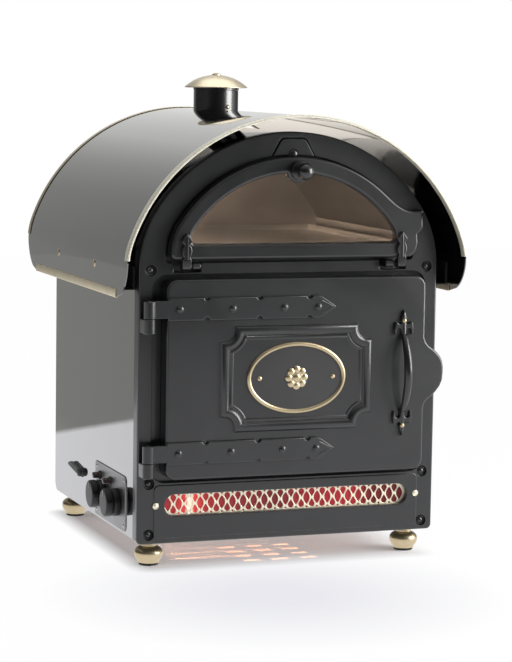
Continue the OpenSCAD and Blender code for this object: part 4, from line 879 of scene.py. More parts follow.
def makeChimney():
    c = chimney
    r, w, tall = c["radius"], c["wall"], c["top"] - c["foot"]
    pipe = [(r, 0), (r, tall - 3.5), (r + 0.7, tall - 2.6), (r + 0.7, tall - 0.4), (r, tall),
            (r - w, tall), (r - w, 0)]
    n, last = c["around"], (len(pipe) - 1) * c["around"]
    verts, faces = lathe(pipe, (c["x"], c["y"], c["foot"]), "up", n)
    # the two end faces give way to a ring, so that the pipe is open
    faces = faces[:-2] + [[i, (i + 1) % n, last + (i + 1) % n, last + i] for i in range(n)]
    put("chimneyPipe", [(verts, faces)], "cabinet", "pipe", ["chimney_pipe"])
    b, h = c["brim"], c["height"]
    dome = [(b - 3.2, 3.9), (b - 6, 6), (b - 9.5, 8.4), (b - 14.5, 11.5), (b - 20, 14), (b - 26, 16.1),
            (b - 32, 17.7), (b - 39, 18.9), (b - 44, 19.3), (0, 19.4)]
    under = [(0, 17.6), (12, 16.9), (20, 13.9), (27, 10), (31.5, 5.6), (33, 1.4), (37, 0.6), (b - 1.6, 0.0)]
    edge = [(b - 0.4, 0.25), (b, 1.0), (b - 0.5, 1.9), (b - 1.6, 2.6)]
    profile = under + edge + dome
    cap = lathe(soften(profile, [0] + [2] * (len(profile) - 2) + [0], closed=False, steps=2),
                (c["x"], c["y"], c["top"]), "up", n)
    put("chimneyCap", [cap], "cabinet", "capBrass", ["chimney_cap"])
    shells = [lathe([(0, -0.5), (6.6, -0.5), (6.6, 0.5), (6.0, 1.0), (4.6, 1.1), (4.2, 1.9), (2.8, 2.4),
                     (0, 2.5)], (c["x"], c["y"], c["top"] + h + 0.4), "up", 28)]
    a = math.radians(c["screwTurn"])
    sx, sy = math.sin(a), -math.cos(a)
    screw = lathe([(0, -0.6)] + domeProfile(3.4, 1.9, 0.6)[1:], (0, 0, 0), "front", 24)
    turn = Matrix.Rotation(a, 3, "Z")
    shells.append(moved(screw, (c["x"] + sx * r, c["y"] + sy * r, c["top"] - c["screwDrop"]), turn))
    put("chimneyScrews", shells, "cabinet", "brass", ["chimney_screws"])


makeChimney()
print("chimney done")


feet = {"x": 192, "ys": (34, 408), "ball": 20.2, "middle": 16.5, "core": 4.6, "below": 14.2, "above": 11.0,
        "pad": 13.5}


def makeFeet():
    core, p = feet["core"], feet["pad"]
    profile = [(0, 3), (p + 0.4, 3), (p + 1.6, 3.6)]
    for k in range(11):
        a = math.radians(-46 + 112 * k / 10)
        tall = feet["below"] if a < 0 else feet["above"]
        profile.append((core + (feet["ball"] - core) * math.cos(a), feet["middle"] + tall * math.sin(a)))
    profile += [(11.0, 27.4), (10.7, 28.8), (10.8, 34.4), (12.4, 35.6), (12.4, 38.4), (0, 38.4)]
    shells = [lathe(profile, (s * feet["x"], y, 0), "up", 56) for s in (-1, 1) for y in feet["ys"]]
    put("ballFeet", shells, "cabinet", "brass", ["feet"])
    pad = [(0, 0), (p - 0.6, 0), (p, 0.6), (p, 2.4), (p - 0.4, 2.9), (0, 2.9)]
    shells = [lathe(pad, (s * feet["x"], y, 0), "up", 40) for s in (-1, 1) for y in feet["ys"]]
    put("footPads", shells, "cabinet", "rubber", ["foot_pads"])


makeFeet()
print("feet done")


fret = {"x": -0.5, "z": 87.5, "length": 361, "height": 30, "cells": 22, "rim": 1.8, "lens": (4.8, 9.3),
        "drop": (4.25, 9.0, 1.9), "dot": (1.5, 13.0), "face": 7, "thick": 2,
        "glass": (9, 12), "screwX": 193.5, "bulb": (-150, 42, 70.5)}


def fretHoles():
    # pointed lenses between crossing bars, a drop above and below each crossing, a dot past each tip
    f = fret
    pitch = (f["length"] - f["height"] / 2) / f["cells"]
    inner, half = f["length"] / 2 - f["rim"], f["height"] / 2 - f["rim"]
    wide, tall = f["lens"]
    rows = [-1 + 2 * k / 16 for k in range(16)]
    lens = [(wide * (1 - t * t), t * tall) for t in rows]
    lens += [(-x, -z) for x, z in lens]
    r, middle, tail = f["drop"]
    turn = math.degrees(math.acos(r / (middle - tail))) - 90
    drop = [(0.5, tail)] + arcPoints(0, middle, r, turn, 180 - turn, 18) + [(-0.5, tail)]
    holes = []
    for i in range(f["cells"] + 1):
        cx = (i - f["cells"] / 2) * pitch
        shape = []
        for x, z in lens:
            limit = inner - half + math.sqrt(max(half ** 2 - z ** 2, 0))
            shape.append((max(-limit, min(limit, cx + x)), z))
        holes.append([(x + f["x"], z + f["z"]) for x, z in shape])
    for i in range(f["cells"]):
        cx = (i - f["cells"] / 2 + 0.5) * pitch + f["x"]
        for s in (-1, 1):
            holes.append([(cx + x, f["z"] + s * z) for x, z in drop])
    dotR, dotZ = f["dot"]
    for i in range(1, f["cells"]):
        cx = (i - f["cells"] / 2) * pitch + f["x"]
        holes += [ringOf(cx, f["z"] + s * dotZ, dotR, 10) for s in (-1, 1)]
    return holes


def makeGrille():
    f = fret
    outline = panel(*casting["grillePocket"])
    put("fretGrille", [plate(outline, f["face"], f["face"] + f["thick"], edge=0.3, backEdge=0.05, steps=2,
                             holes=fretHoles(), holeEdge=0.35)],
        "cabinet", "fretBrass", ["fret_grille"], sharp=50)
    # the red lens behind the fret, its lamp glow painted into its emission
    put("redLens", [plate(outline, *f["glass"], edge=0.4)], "cabinet", "redGlassPaintedGlow", ["red_lens"])
    shells = []
    for s in (-1, 1):
        head = [(0, -1), (4.4, -1), (4.4, 0.3), (3.9, 0.7)] + domeProfile(3.4, 1.1, -0.7)[2:]
        shells.append(lathe(head, (s * f["screwX"], -casting["raise"], f["z"]), "front", 24))
    put("fretScrews", shells, "cabinet", "fretBrass", ["fret_screws"])
    bulb = [(0, 0), (4.6, 0), (4.8, 6), (6.5, 9), (9.2, 12.5), (10, 16), (9.2, 20), (6.6, 23.4), (3, 24.8),
            (0, 25)]
    bulb = soften(bulb, [0] + [2] * (len(bulb) - 2) + [0], closed=False, steps=2)
    put("glowBulb", [lathe(bulb, f["bulb"], "up", 32)], "cabinet", "glowLamp", ["glow_lamp"])


makeGrille()
print("grille done")


door = {
    "x0": -185, "x1": 196.5, "z0": 125, "z1": 399.3, "face": -17, "edge": 3.4, "corner": 15,
    "earBack": -1.5, "back": 7.9,
    "ear": (261.4, [(0, -50), (1.2, -44), (5, -38.5), (12, -33.5), (18.3, -27.5), (24.6, -19.6), (28.4, -11),
                    (29.4, 0), (29.4, 8), (27.8, 17), (24.2, 23.5), (19.4, 29), (12.5, 35), (6.5, 39),
                    (2.2, 44.5), (0, 51)]),
    "moulding": (3.25, 261.15, 105, 66.5, 21), "bead": (8, 4.4),
    "badge": (3.25, 261.15, 73, 50, 6.4, 3.0), "badgeRivet": (54, 3.5, 2.2),
    "straps": (359.3, 162.0), "strapLong": 245, "strapHigh": 31, "strapThick": 4, "seg": 76,
    "hinge": (-210.5, -19, 8, 24), "cavity": (-171, 139, 182.5, 385.3),
    "well": (-154, 156, 165.5, 368.3, 5),
}


def earLoop():
    # door outline with the hand ear on its right edge
    d = door
    middle, shape = d["ear"]
    ear = soften([(d["x1"] + x, middle + z) for x, z in shape], [0] + [9] * (len(shape) - 2) + [0],
                 closed=False, steps=3)
    c = d["corner"]
    x0, z0, x1, z1 = d["x0"] + c, d["z0"] + c, d["x1"] - c, d["z1"] - c
    lower = arcPoints(x0, z0, c, 180, 270, 10) + arcPoints(x1, z0, c, 270, 360, 10)
    return lower + ear + arcPoints(x1, z1, c, 0, 90, 10) + arcPoints(x0, z1, c, 90, 180, 10)


def mouldingLoop():
    # a panel with its corners scooped out
    cx, cz, hx, hz, r = door["moulding"]
    loop = []
    for sx, sz, start in ((1, -1, 180), (1, 1, 270), (-1, 1, 0), (-1, -1, 90)):
        loop += arcPoints(cx + sx * hx, cz + sz * hz, r, start, start - 90, 10)
    return loop


def strapLoop(x0, z, long, high):
    h, seg, notch = high / 2, door["seg"], 4.2
    top = []
    for x in (56, 56 + seg, 53 + 2 * seg):
        top += [(x - notch, h)] + arcPoints(x, h, notch, 180, 360, 6)[1:-1] + [(x + notch, h)]
    tip = [(long - 27, h + 0.3), (long - 20, h * 0.86), (long - 11, h * 0.48), (long, 0)]
    upper = [(0, h)] + top + tip
    lower = [(x, -z_) for x, z_ in upper[-2::-1]]
    points = upper + lower
    return [(x0 + x, z + z_) for x, z_ in points]


def doorPanel(inward, radius):
    d = door
    return panel(d["x0"] + inward, d["z0"] + inward, d["x1"] - inward, d["z1"] - inward, radius)


def makeDoor():
    d = door
    slabBack = panel(d["x0"], d["z0"], d["x1"], d["z1"], d["corner"], steps=10)
    well = panel(*d["well"])
    shells = [plate(earLoop(), d["face"], d["earBack"], edge=d["edge"], backEdge=0.8, steps=6),
              plate(slabBack, d["earBack"] - 1, d["back"], edge=0, backEdge=1, holes=[well], holeEdge=0)]
    r, high = d["bead"]
    span = math.degrees(math.acos((r - high) / r))
    turns = [math.radians(-span + 2 * span * k / 10) for k in range(11)]
    profile = [(r * math.sin(a), r * math.cos(a) - (r - high)) for a in turns]
    profile = [(profile[0][0] - 0.9, -0.15)] + profile + [(profile[-1][0] + 0.9, -0.15)]
    loop = mouldingLoop()
    shells.append(bead(loop, profile, d["face"]))
    inner = [(x * 0.36, h * 0.16) for x, h in profile]
    shells.append(bead(inset(ccw(loop), 10), inner, d["face"]))
    put("ovenDoor", shells, "door", "door", ["oven_door"])
    cx, cz, a, b, wide, tall = d["badge"]
    oval = [(cx + a * math.cos(math.tau * k / 96), cz + b * math.sin(math.tau * k / 96)) for k in range(96)]
    profile = [(wide * (0.5 - 0.5 * math.cos(math.pi * k / 10)), tall * math.sin(math.pi * k / 10) ** 0.8)
               for k in range(11)]
    field = inset(ccw(oval), wide * 0.7)
    shells = [bead(oval, [(0, -0.2)] + profile[1:-1] + [(wide, -0.2)], d["face"])]
    for s in (-1, 1):
        out, size, proud = d["badgeRivet"]
        shells.append(lathe(domeProfile(size, proud, 0.3), (cx + s * out, d["face"] - 0.5, cz), "front", 24))
    put("badgeRing", shells, "door", "brass", ["badge_ring"])
    put("badgeField", [plate(field, d["face"] - 0.6, d["face"] + 0.5, edge=0.3)], "door", "badge")


def makeRosette():
    cx, cz = door["badge"][:2]
    face = door["face"] - 0.6
    petals, spread = 8, 11.2
    shells = []
    for i in range(petals):
        a = math.tau * i / petals
        petal = [(0, -0.4), (5.6, -0.4), (5.3, 0.7), (4.2, 1.5), (2.4, 2.0), (0, 2.1)]
        shells.append(lathe(petal, (cx + spread * math.cos(a), face, cz + spread * math.sin(a)), "front", 24))
    shells.append(lathe([(0, -0.3), (9.6, -0.3), (9.6, 1.0), (8.6, 1.5), (5.6, 1.5), (5.2, 2.1), (3.4, 3.0),
                         (0, 3.3)], (cx, face, cz), "front", 36))
    put("badgeRosette", shells, "door", "brass", ["badge_rosette"])


def makeStraps():
    d = door
    face, out = d["face"], d["face"] - d["strapThick"]
    for z, name, node in zip(d["straps"], ("upperStrap", "lowerStrap"), ("upper_strap", "lower_strap")):
        shells = [plate(strapLoop(d["x0"], z, d["strapLong"], d["strapHigh"]), out, face + 0.3, edge=1.5,
                        backEdge=0, steps=4)]
        hx, hy, hr, tall = d["hinge"]
        leaf = soften([(hx, z - tall / 2), (d["x0"] + 3, z - tall / 2), (d["x0"] + 3, z + tall / 2),
                       (hx, z + tall / 2)], 1)
        shells.append(plate(leaf, out, out + 4, edge=1.2, backEdge=1))
        barrel = [(3.1, 0), (hr - 0.8, 0), (hr, 0.8), (hr, tall - 0.9), (hr - 0.9, tall), (3.4, tall),
                  (2.6, tall - 0.8), (0, tall - 0.8)]
        shells.append(lathe(barrel, (hx, hy, z - tall / 2), "up", 40))
        for x in (17, 17 + d["seg"], 16 + 2 * d["seg"], d["strapLong"] - 27):
            rivet = [(0, -0.4), (5.4, -0.4), (5.2, 0.5), (4.7, 1.3), (3.6, 2.3), (2.0, 3.0), (0, 3.2)]
            shells.append(lathe(rivet, (d["x0"] + x, out, z), "front", 28))
        ridge = [(d["strapLong"] - 22, 8.5), (d["strapLong"] - 5, 0)]
        for s in (-1, 1):
            path = [(d["x0"] + x, out + 0.2, z + s * h) for x, h in ridge]
            shells.append(tube(path, [0.9, 0.7], 8))
        put(name, shells, "door", "door", [node])


handle = {"x": 162, "z": 263.15, "span": 148, "chord": 104, "bow": 18, "leaf": 5, "barEnd": 3.9,
          "barSwell": 2.0, "barFoot": 4.6}

leafHalf = [(3.1, -22), (3.3, -14), (5, -10.8), (8.5, -10.4), (11, -12.5), (11.3, -19.5), (12.3, -20.2),
            (13.6, -19.5), (14.3, -12), (13.6, -5), (12.3, -1.8), (10.8, -2.4), (7, -5), (4, -5.2),
            (2.6, -3.4), (3.9, 0), (3.6, 4), (0, 15.6)]


def makeHandle():
    h = handle
    out = door["face"]
    loop = leafHalf + [(-x, z) for x, z in leafHalf[-2::-1]]
    curls = [1.4] * (len(leafHalf) - 2)
    loop = soften(loop, [0.4] + curls + [0.3] + curls + [0.4], steps=3)
    shells, screws = [], []
    for s in (-1, 1):
        place = [(h["x"] + x, h["z"] + s * (h["span"] / 2 + z)) for x, z in loop]
        shells.append(plate(place, out - h["leaf"], out + 0.2, edge=1.3, backEdge=0, steps=4))
        vein = [(h["x"], out - h["leaf"] + 0.4, h["z"] + s * (h["span"] / 2 + z))
                for z in (-21, -10, -3, 4, 12)]
        shells.append(tube(vein, [2.6, 2.4, 1.6, 1.9, 0.4], 10, 0.7))
        screws.append(lathe([(0, -0.5), (3.3, -0.5), (3.2, 0.5), (2.7, 1.3), (1.6, 2.0), (0, 2.2)],
                            (h["x"], out - h["leaf"], h["z"] + s * h["span"] / 2), "front", 24))
    radius = ((h["chord"] / 2) ** 2 + h["bow"] ** 2) / (2 * h["bow"])
    half = math.asin(h["chord"] / 2 / radius)
    path, radii = [], []
    endY = out - 5
    centreY = endY - h["bow"] + radius
    for k in range(41):
        t = -1 + k / 20
        a = t * half
        path.append((h["x"], centreY - radius * math.cos(a), h["z"] + radius * math.sin(a)))
        radii.append(h["barEnd"] + h["barSwell"] * max(math.cos(t * math.pi / 2), 0) ** 0.8)
    path = [(h["x"], out + 0.5, path[0][2] - 2.5)] + path + [(h["x"], out + 0.5, path[-1][2] + 2.5)]
    radii = [h["barFoot"]] + radii + [h["barFoot"]]
    shells.append(tube(path, radii, 20))
    put("pullHandle", shells, "door", "hardware", ["pull_handle"])
    put("handleScrews", screws, "door", "brass", ["handle_screws"])


def makeDoorInside():
    x0, z0, x1, z1 = door["cavity"]
    back = door["back"]
    outline = panel(x0 + 5, z0 + 5, x1 - 5, z1 - 5, 6)
    shells = [plate(outline, back + 8, back - 0.2, edge=1.6, backEdge=0, steps=3)]
    field = panel(x0 + 32, z0 + 32, x1 - 32, z1 - 32, 14)
    pressed = [(-3, 0.2), (-2.2, -0.5), (-0.8, -1.1), (0.8, -1.1), (2.2, -0.5), (3, 0.2)]
    shells.append(bead(field, pressed, back + 8))
    put("doorPan", shells, "door", "steel", ["door_lining"])
    tape = plate(doorPanel(3, 12), back + 0.65, back, edge=0.2, backEdge=0.05, steps=1,
                 holes=[doorPanel(10, 6)])
    put("doorSeal", [ringTube(doorPanel(7, 9), back + 0.15, 0.75, 8), tape], "door", "rope",
        ["door_seal"])


makeDoor()
makeRosette()
makeStraps()
makeHandle()
makeDoorInside()
print("oven door done")


flap = {
    "halfWidth": 179, "bottom": 426, "radius": 200, "corner": 7, "haunch": 70, "face": -15, "back": 8,
    "window": (150, 446.5, 178, 8, 25), "boss": (3.5, 546, 14), "pane": (0.05, 4), "axis": (-8, 416.7),
    "strap": (158, 13, 4), "ball": (12, 21.5), "collar": (13.5, 7),
    # right edge with the hand tab, counted from the lower right corner; the plain outline takes over
    # above "over" from the bottom and to the left of "past"
    "over": 84, "past": 137,
    "tab": [(-6, 0, 5), (2, 7, 6), (5, 18, 7), (4, 31, 3), (9, 35, 3), (12.8, 41, 2.5), (12, 47, 3),
            (12, 65.6, 1.6)],
    "shoulder": [(184, 490.3), (176, 489.9), (168, 491), (161, 493.4), (155, 496.7), (149, 500.8),
                 (143, 505.6)],
}


def flapLoop(withTab=False):
    f = flap
    loop = showLoop(f["halfWidth"], f["bottom"], f["radius"], f["corner"], f["haunch"])
    if not withTab:
        return loop
    high = f["bottom"] + f["over"]
    crown = [p for p in loop[6:] if p[1] > high and p[0] < f["past"]]
    down = [p for p in loop[6:] if p[1] <= high and p[0] < 0]
    tab = [(f["halfWidth"] + x, f["bottom"] + z) for x, z, _ in f["tab"]]
    radii = [0] + [r for _, _, r in f["tab"]] + [0] * len(f["shoulder"])
    tab = soften([(0, f["bottom"])] + tab + f["shoulder"], radii, closed=False, steps=4)
    return tab + crown + down + loop[:6]


def windowLoop(grow=0.0):
    hw, low, radius, corner, haunch = flap["window"]
    loop = showLoop(hw + grow, low - grow, radius + grow, corner, haunch)
    bx, bz, br = flap["boss"]
    reach = br + 3 - grow
    keep = [math.hypot(x - bx, z - bz) >= reach for x, z in loop]
    if all(keep):
        return loop
    first, last = keep.index(False), len(keep) - 1 - keep[::-1].index(False)
    ends = [math.degrees(math.atan2(loop[i][1] - bz, loop[i][0] - bx)) for i in (first, last)]
    dip = arcPoints(bx, bz, reach, *ends, 14)
    radii = [0] * first + [5] + [0] * (len(dip) - 2) + [5] + [0] * (len(loop) - last - 1)
    return soften(loop[:first] + dip + loop[last + 1:], radii, steps=3)


def makeFlap():
    f = flap
    front, body = flapLoop(True), flapLoop()
    shells = [plate(front, f["face"], -1.5, edge=3.6, backEdge=0.6, steps=6, holes=[windowLoop()],
                    holeEdge=4.6),
              plate(inset(body, 0.3), -2.5, 0, edge=0, backEdge=0, holes=[windowLoop(0.3)], holeEdge=0),
              plate(body, 0, f["back"], edge=0.2, backEdge=1, holes=[windowLoop(9)], holeEdge=0.2)]
    put("displayFlap", shells, "flap", "cast", ["display_flap"])
    put("flapGlass", [plate(windowLoop(5), *f["pane"], edge=0.4, backEdge=0.4, steps=2)], "flap",
        "glass", ["flap_glass"])


def makeFlapStraps():
    f = flap
    ax, az = f["axis"]
    x, w, t = f["strap"]
    out = f["face"] - t
    half = [(6.0, -2), (6.2, 0.6), (4.4, 3.2), (6.6, 7.5), (7.3, 12.5), (6.4, 16.8), (3.8, 20), (6.3, 23),
            (7.6, 26.2), (5.2, 30), (0, 36)]
    z0 = f["bottom"]
    loop = [(x + u, z0 + v) for u, v in half] + [(x - u, z0 + v) for u, v in half[-2::-1]]
    curls = [1.2] * (len(half) - 2)
    leaf = soften(loop, [0.3] + curls + [0.5] + curls + [0.3], steps=3)
    shells = [plate(leaf, out, f["face"] + 0.3, edge=1.4, backEdge=0, steps=3)]
    vein = [(x, out + 0.2, z0 + v) for v in (0, 8, 13, 20, 26, 33)]
    shells.append(tube(vein, [1.6, 1.8, 2.2, 1.2, 2.0, 0.5], 8, 0.7))
    arm = soften([(out + 0.25, z0 + 1), (out + 0.25, az - 3.6), (ax, az - 6), (ax + 5.8, az),
                  (ax + 1, az + 5.6), (f["face"] - 0.2, z0 - 0.4), (f["face"] - 0.2, z0 + 1)],
                 [0, 4, 5, 4, 3, 0.5, 0], steps=5)
    shells.append(plate(arm, x - w / 2 + 0.4, x + w / 2 - 0.4, edge=1.0, backEdge=1.0, at=sidePoint))
    both = shells + [mirrored(s) for s in shells]
    put("flapStraps", both, "flap", "hardware", ["flap_straps"])
    bx, bz, _ = f["boss"]
    (r, out), (c, t) = f["ball"], f["collar"]
    knob = [(0, -1), (c, -1), (c, t - 1.8), (c - 0.5, t - 0.6), (c - 1.7, t), (8.6, t + 0.2), (6.4, t + 1.4),
            (5.6, t + 3.5), (5.7, t + 5.6)]
    for k in range(13):
        a = math.radians(-58 + 148 * k / 12)
        knob.append((r * math.cos(a) if k < 12 else 0, out + r * math.sin(a)))
    put("flapKnob", [lathe(knob, (bx, f["face"], bz), "front", 48)], "flap", "hardware",
        ["flap_knob"])


makeFlap()
makeFlapStraps()
print("display flap done")


controls = {"x": -219, "plate": (53, 42, 202, 120), "knobs": (93, 164), "knobZ": 78, "pilots": (126, 176),
            "pilotZ": 102.5, "knobTall": 0.72, "thick": 1.5, "knobGap": 1.9}


def fluted(deep, count, low, high):
    # draws a lathed side in and out between two heights
    return lambda a, h: 1.0 - (deep * (0.5 + 0.5 * math.cos(count * a)) if low < h < high else 0.0)


def makeControls():
    c = controls
    y0, z0, y1, z1 = c["plate"]
    face, seat = c["x"] - c["thick"], c["x"] - c["knobGap"]
    holes = [ringOf(y, c["knobZ"], 4.5, 20) for y in c["knobs"]]
    loop = soften([(y0, z0), (y1, z0), (y1, z1), (y0, z1)], [9, 4, 4, 9])
    shells = [plate(loop, face, c["x"], edge=0.5, backEdge=0.1, steps=2, holes=holes, at=sidePoint)]
    put("controlPlate", shells, "cabinet", "control", ["control_plate"])
    screws = [lathe([(0, -0.3)] + domeProfile(2.6, 1.0, 0.3)[1:], (face, y, z), "left", 18)
              for y in (y0 + 8, y1 - 8) for z in (z0 + 8, z1 - 7)]
    put("plateScrews", screws, "cabinet", "steel")
    for y, body, name, node in ((c["knobs"][0], "thermostat", "thermostatKnob", "thermostat_knob"),
                                (c["knobs"][1], "timer", "timerKnob", "timer_knob")):
        skirt = [(0, 0), (18.6, 0), (19.5, 0.8), (19.7, 8.5), (18.9, 10.6), (17.4, 11.2), (17.2, 12.4),
                 (18.8, 13.4), (20.0, 16), (19.6, 25.4), (18.2, 27.4), (15.4, 28), (0, 28)]
        skirt = [(r, h * c["knobTall"]) for r, h in skirt]
        profile = soften(skirt, [0] + [0.8] * (len(skirt) - 2) + [0], closed=False, steps=2)
        tip = seat - skirt[-1][1]
        shells = [lathe(profile, (seat, y, c["knobZ"]), "left", 96, fluted(0.012, 24, 9.4, 18.7))]
        shells.append(lathe([(0, 0), (3, 0), (3, 18), (0, 18)], (face, y, c["knobZ"]), "right", 16))
        mark = tube([(tip, y, c["knobZ"] + 8), (tip, y, c["knobZ"] + 17)], 0.8, 8, 0.5)
        put(name, shells, body, "knob", [node])
        put(name + "Mark", [mark], body, "ceramic")
    bezels, lenses = [], []
    for y in c["pilots"]:
        place = (face, y, c["pilotZ"])
        bezel = [(0, -0.3), (6.2, -0.3), (6.2, 1.6), (5.6, 2.8), (4.4, 3.0), (0, 3.0)]
        lens = [(0, 2.6), (4.4, 2.6), (4.6, 3.4), (4.6, 9.6), (4.2, 11.2), (2.8, 12.0), (0, 12.2)]
        bezels.append(lathe(bezel, place, "left", 28))
        lenses.append(lathe(lens, place, "left", 28, fluted(0.03, 12, 3, 10)))
    put("pilotBezels", bezels, "cabinet", "plastic")
    put("pilotLenses", lenses, "cabinet", "pilot", ["pilot_lamps"])


elbow = {"wall": -219, "x": -222.6, "y": 275.5, "z": 89.5, "boss": 6.2, "sleeve": 5.2, "reach": 50, "rise": 6}


def makeElbow():
    # a short dark knuckle on the side panel, its sleeve running back along the wall
    e = elbow
    x, y, z, r, thick = e["x"], e["y"], e["z"], e["boss"], e["sleeve"]
    boss = [(0, -0.5), (r + 1.2, -0.5), (r + 1.2, 0.9), (r + 0.8, 1.4), (r, 1.8), (r, 5.0), (r - 1.0, 6.8),
            (r - 3, 7.7), (0, 7.9)]
    boss = soften(boss, [0, 0] + [0.7] * 5 + [1.6, 0], closed=False, steps=3)
    put("elbowBody", [lathe(boss, (e["wall"], y, z), "left", 40)], "cabinet", "plastic",
        ["cable_elbow"])
    steps = [(0, thick - 0.2), (0.1, thick), (0.92, thick), (0.98, thick - 0.3), (1.0, thick - 1.0)]
    path = [(x, y + 2 + (e["reach"] - 2) * t, z + e["rise"] * t * t) for t, _ in steps]
    put("elbowSleeve", [tube(path, [w for _, w in steps], 28, 0.62, (0, 0, 1))], "cabinet", "sleeve")


makeControls()
makeElbow()
print("controls done")


kept = {
    "enamel": ["left_side_panel", "right_side_panel", "inner_hood", "back_panel"],
    "darkSteel": ["base_plate", "canopy_rails", "door_magnet", "door_hinge_pins", "flap_hinge_pins"],
    "ceramic": ["glow_lamp_holder", "lamp_holders"],
    "steelDeep": ["oven_liner", "display_liner", "fan_baffle", "fan_motor"],
    "steel": ["rack_runners", "display_tray", "fan_wheel"],
    "chrome": ["lower_rack", "middle_rack", "upper_rack"],
    "wool": ["oven_insulation"],
    "element": ["ring_element"],
    "lamp": ["display_lamp"],
    "plastic": ["thermostat_body", "timer_body"],
}
for key, names in kept.items():
    for name in names:
        mesh = nodes[name].data
        mesh.materials.clear()
        mesh.materials.append(finish[key])
print("kept nodes dressed")


def stagePlane(name, low, high, material):
    mesh = bpy.data.meshes.new(name)
    mesh.from_pydata([(low[0], low[1], 0), (high[0], low[1], 0), (high[0], high[1], 0), (low[0], high[1], 0)],
                     [], [[0, 1, 2, 3]])
    mesh.materials.append(material)
    obj = bpy.data.objects.new(name, mesh)
    obj.location = (0, 0, -0.0004)
    bpy.context.scene.collection.objects.link(obj)


def floorMaterial():
    # white table: keeps the object's shadow near it and runs out to plain white for the camera;
    # in glossy surfaces it is white as far as the table reaches and dark behind it
    material = bpy.data.materials.new("whiteFloor")
    material.use_nodes = True
    tree = material.node_tree
    tree.nodes.clear()
    out = tree.nodes.new("ShaderNodeOutputMaterial")
    place = tree.nodes.new("ShaderNodeTexCoord")
    parts = tree.nodes.new("ShaderNodeSeparateXYZ")
    tree.links.new(place.outputs["Object"], parts.inputs[0])
    # distance outside the rectangle that the oven covers
    past = []
    for axis, half in (("X", 0.195), ("Y", 0.21)):
        side = mathNode(tree, "SUBTRACT", mathNode(tree, "ABSOLUTE", parts.outputs[axis]), half)
        past.append(mathNode(tree, "POWER", mathNode(tree, "MAXIMUM", side, 0.0), 2.0))
    reach = mathNode(tree, "SQRT", mathNode(tree, "ADD", *past))
    lit = addNode(tree, "ShaderNodeBsdfDiffuse", Color=(0.86, 0.86, 0.88, 1))
    plain = addNode(tree, "ShaderNodeEmission", Color=(1, 1, 1, 1), Strength=1.0)
    mirrored_ = addNode(tree, "ShaderNodeEmission", Strength=1.0)
    # the camera sees a faint grey sheen on the table in front
    sides = (mathNode(tree, "POWER", mathNode(tree, "SUBTRACT", parts.outputs[axis], at), 2.0)
             for axis, at in (("X", -0.09), ("Y", -0.41)))
    sheen = mapRange(tree, mathNode(tree, "SQRT", mathNode(tree, "ADD", *sides)), 0.06, 0.31, 0.0, 1.0)
    tree.links.new(colourMix(tree, sheen, (0.82, 0.82, 0.865), (1.0, 1.0, 1.0)), plain.inputs["Color"])
    # the table's rear edge as glossy surfaces mirror it, slanting to the right
    slant = mathNode(tree, "ADD", parts.outputs["Y"], mathNode(tree, "MULTIPLY", parts.outputs["X"], 0.594))
    far = mapRange(tree, slant, 0.700, 0.750, 0.0, 1.0)
    behind = colourMix(tree, mapRange(tree, parts.outputs["X"], -0.5, 0.3, 0.0, 1.0), (0.36, 0.36, 0.345),
                       (0.96, 0.90, 0.82))
    tree.links.new(colourMix(tree, far, (1.14, 1.14, 1.17), behind), mirrored_.inputs["Color"])
    path = tree.nodes.new("ShaderNodeLightPath")
    share = mathNode(tree, "MULTIPLY", mapRange(tree, reach, 0.0, 0.035, 0.10, 0.985),
                     path.outputs["Is Camera Ray"])
    seen = tree.nodes.new("ShaderNodeMixShader")
    tree.links.new(share, seen.inputs[0])
    tree.links.new(lit.outputs[0], seen.inputs[1])
    tree.links.new(plain.outputs[0], seen.inputs[2])
    mixed = tree.nodes.new("ShaderNodeMixShader")
    tree.links.new(path.outputs["Is Glossy Ray"], mixed.inputs[0])
    tree.links.new(seen.outputs[0], mixed.inputs[1])
    tree.links.new(mirrored_.outputs[0], mixed.inputs[2])
    tree.links.new(mixed.outputs[0], out.inputs["Surface"])
    return material


stagePlane("floor", (-6.0, -2.6), (6.0, 5.0), floorMaterial())


def toneRamp(tree, value, stops):
    ramp = tree.nodes.new("ShaderNodeValToRGB")
    elements = ramp.color_ramp.elements
    for i, (position, tone) in enumerate(stops):
        element = elements[i] if i < 2 else elements.new(position)
        element.position, element.color = position, (tone, tone, tone * 0.985, 1)
    tree.links.new(value, ramp.inputs["Fac"])
    return ramp.outputs["Color"]


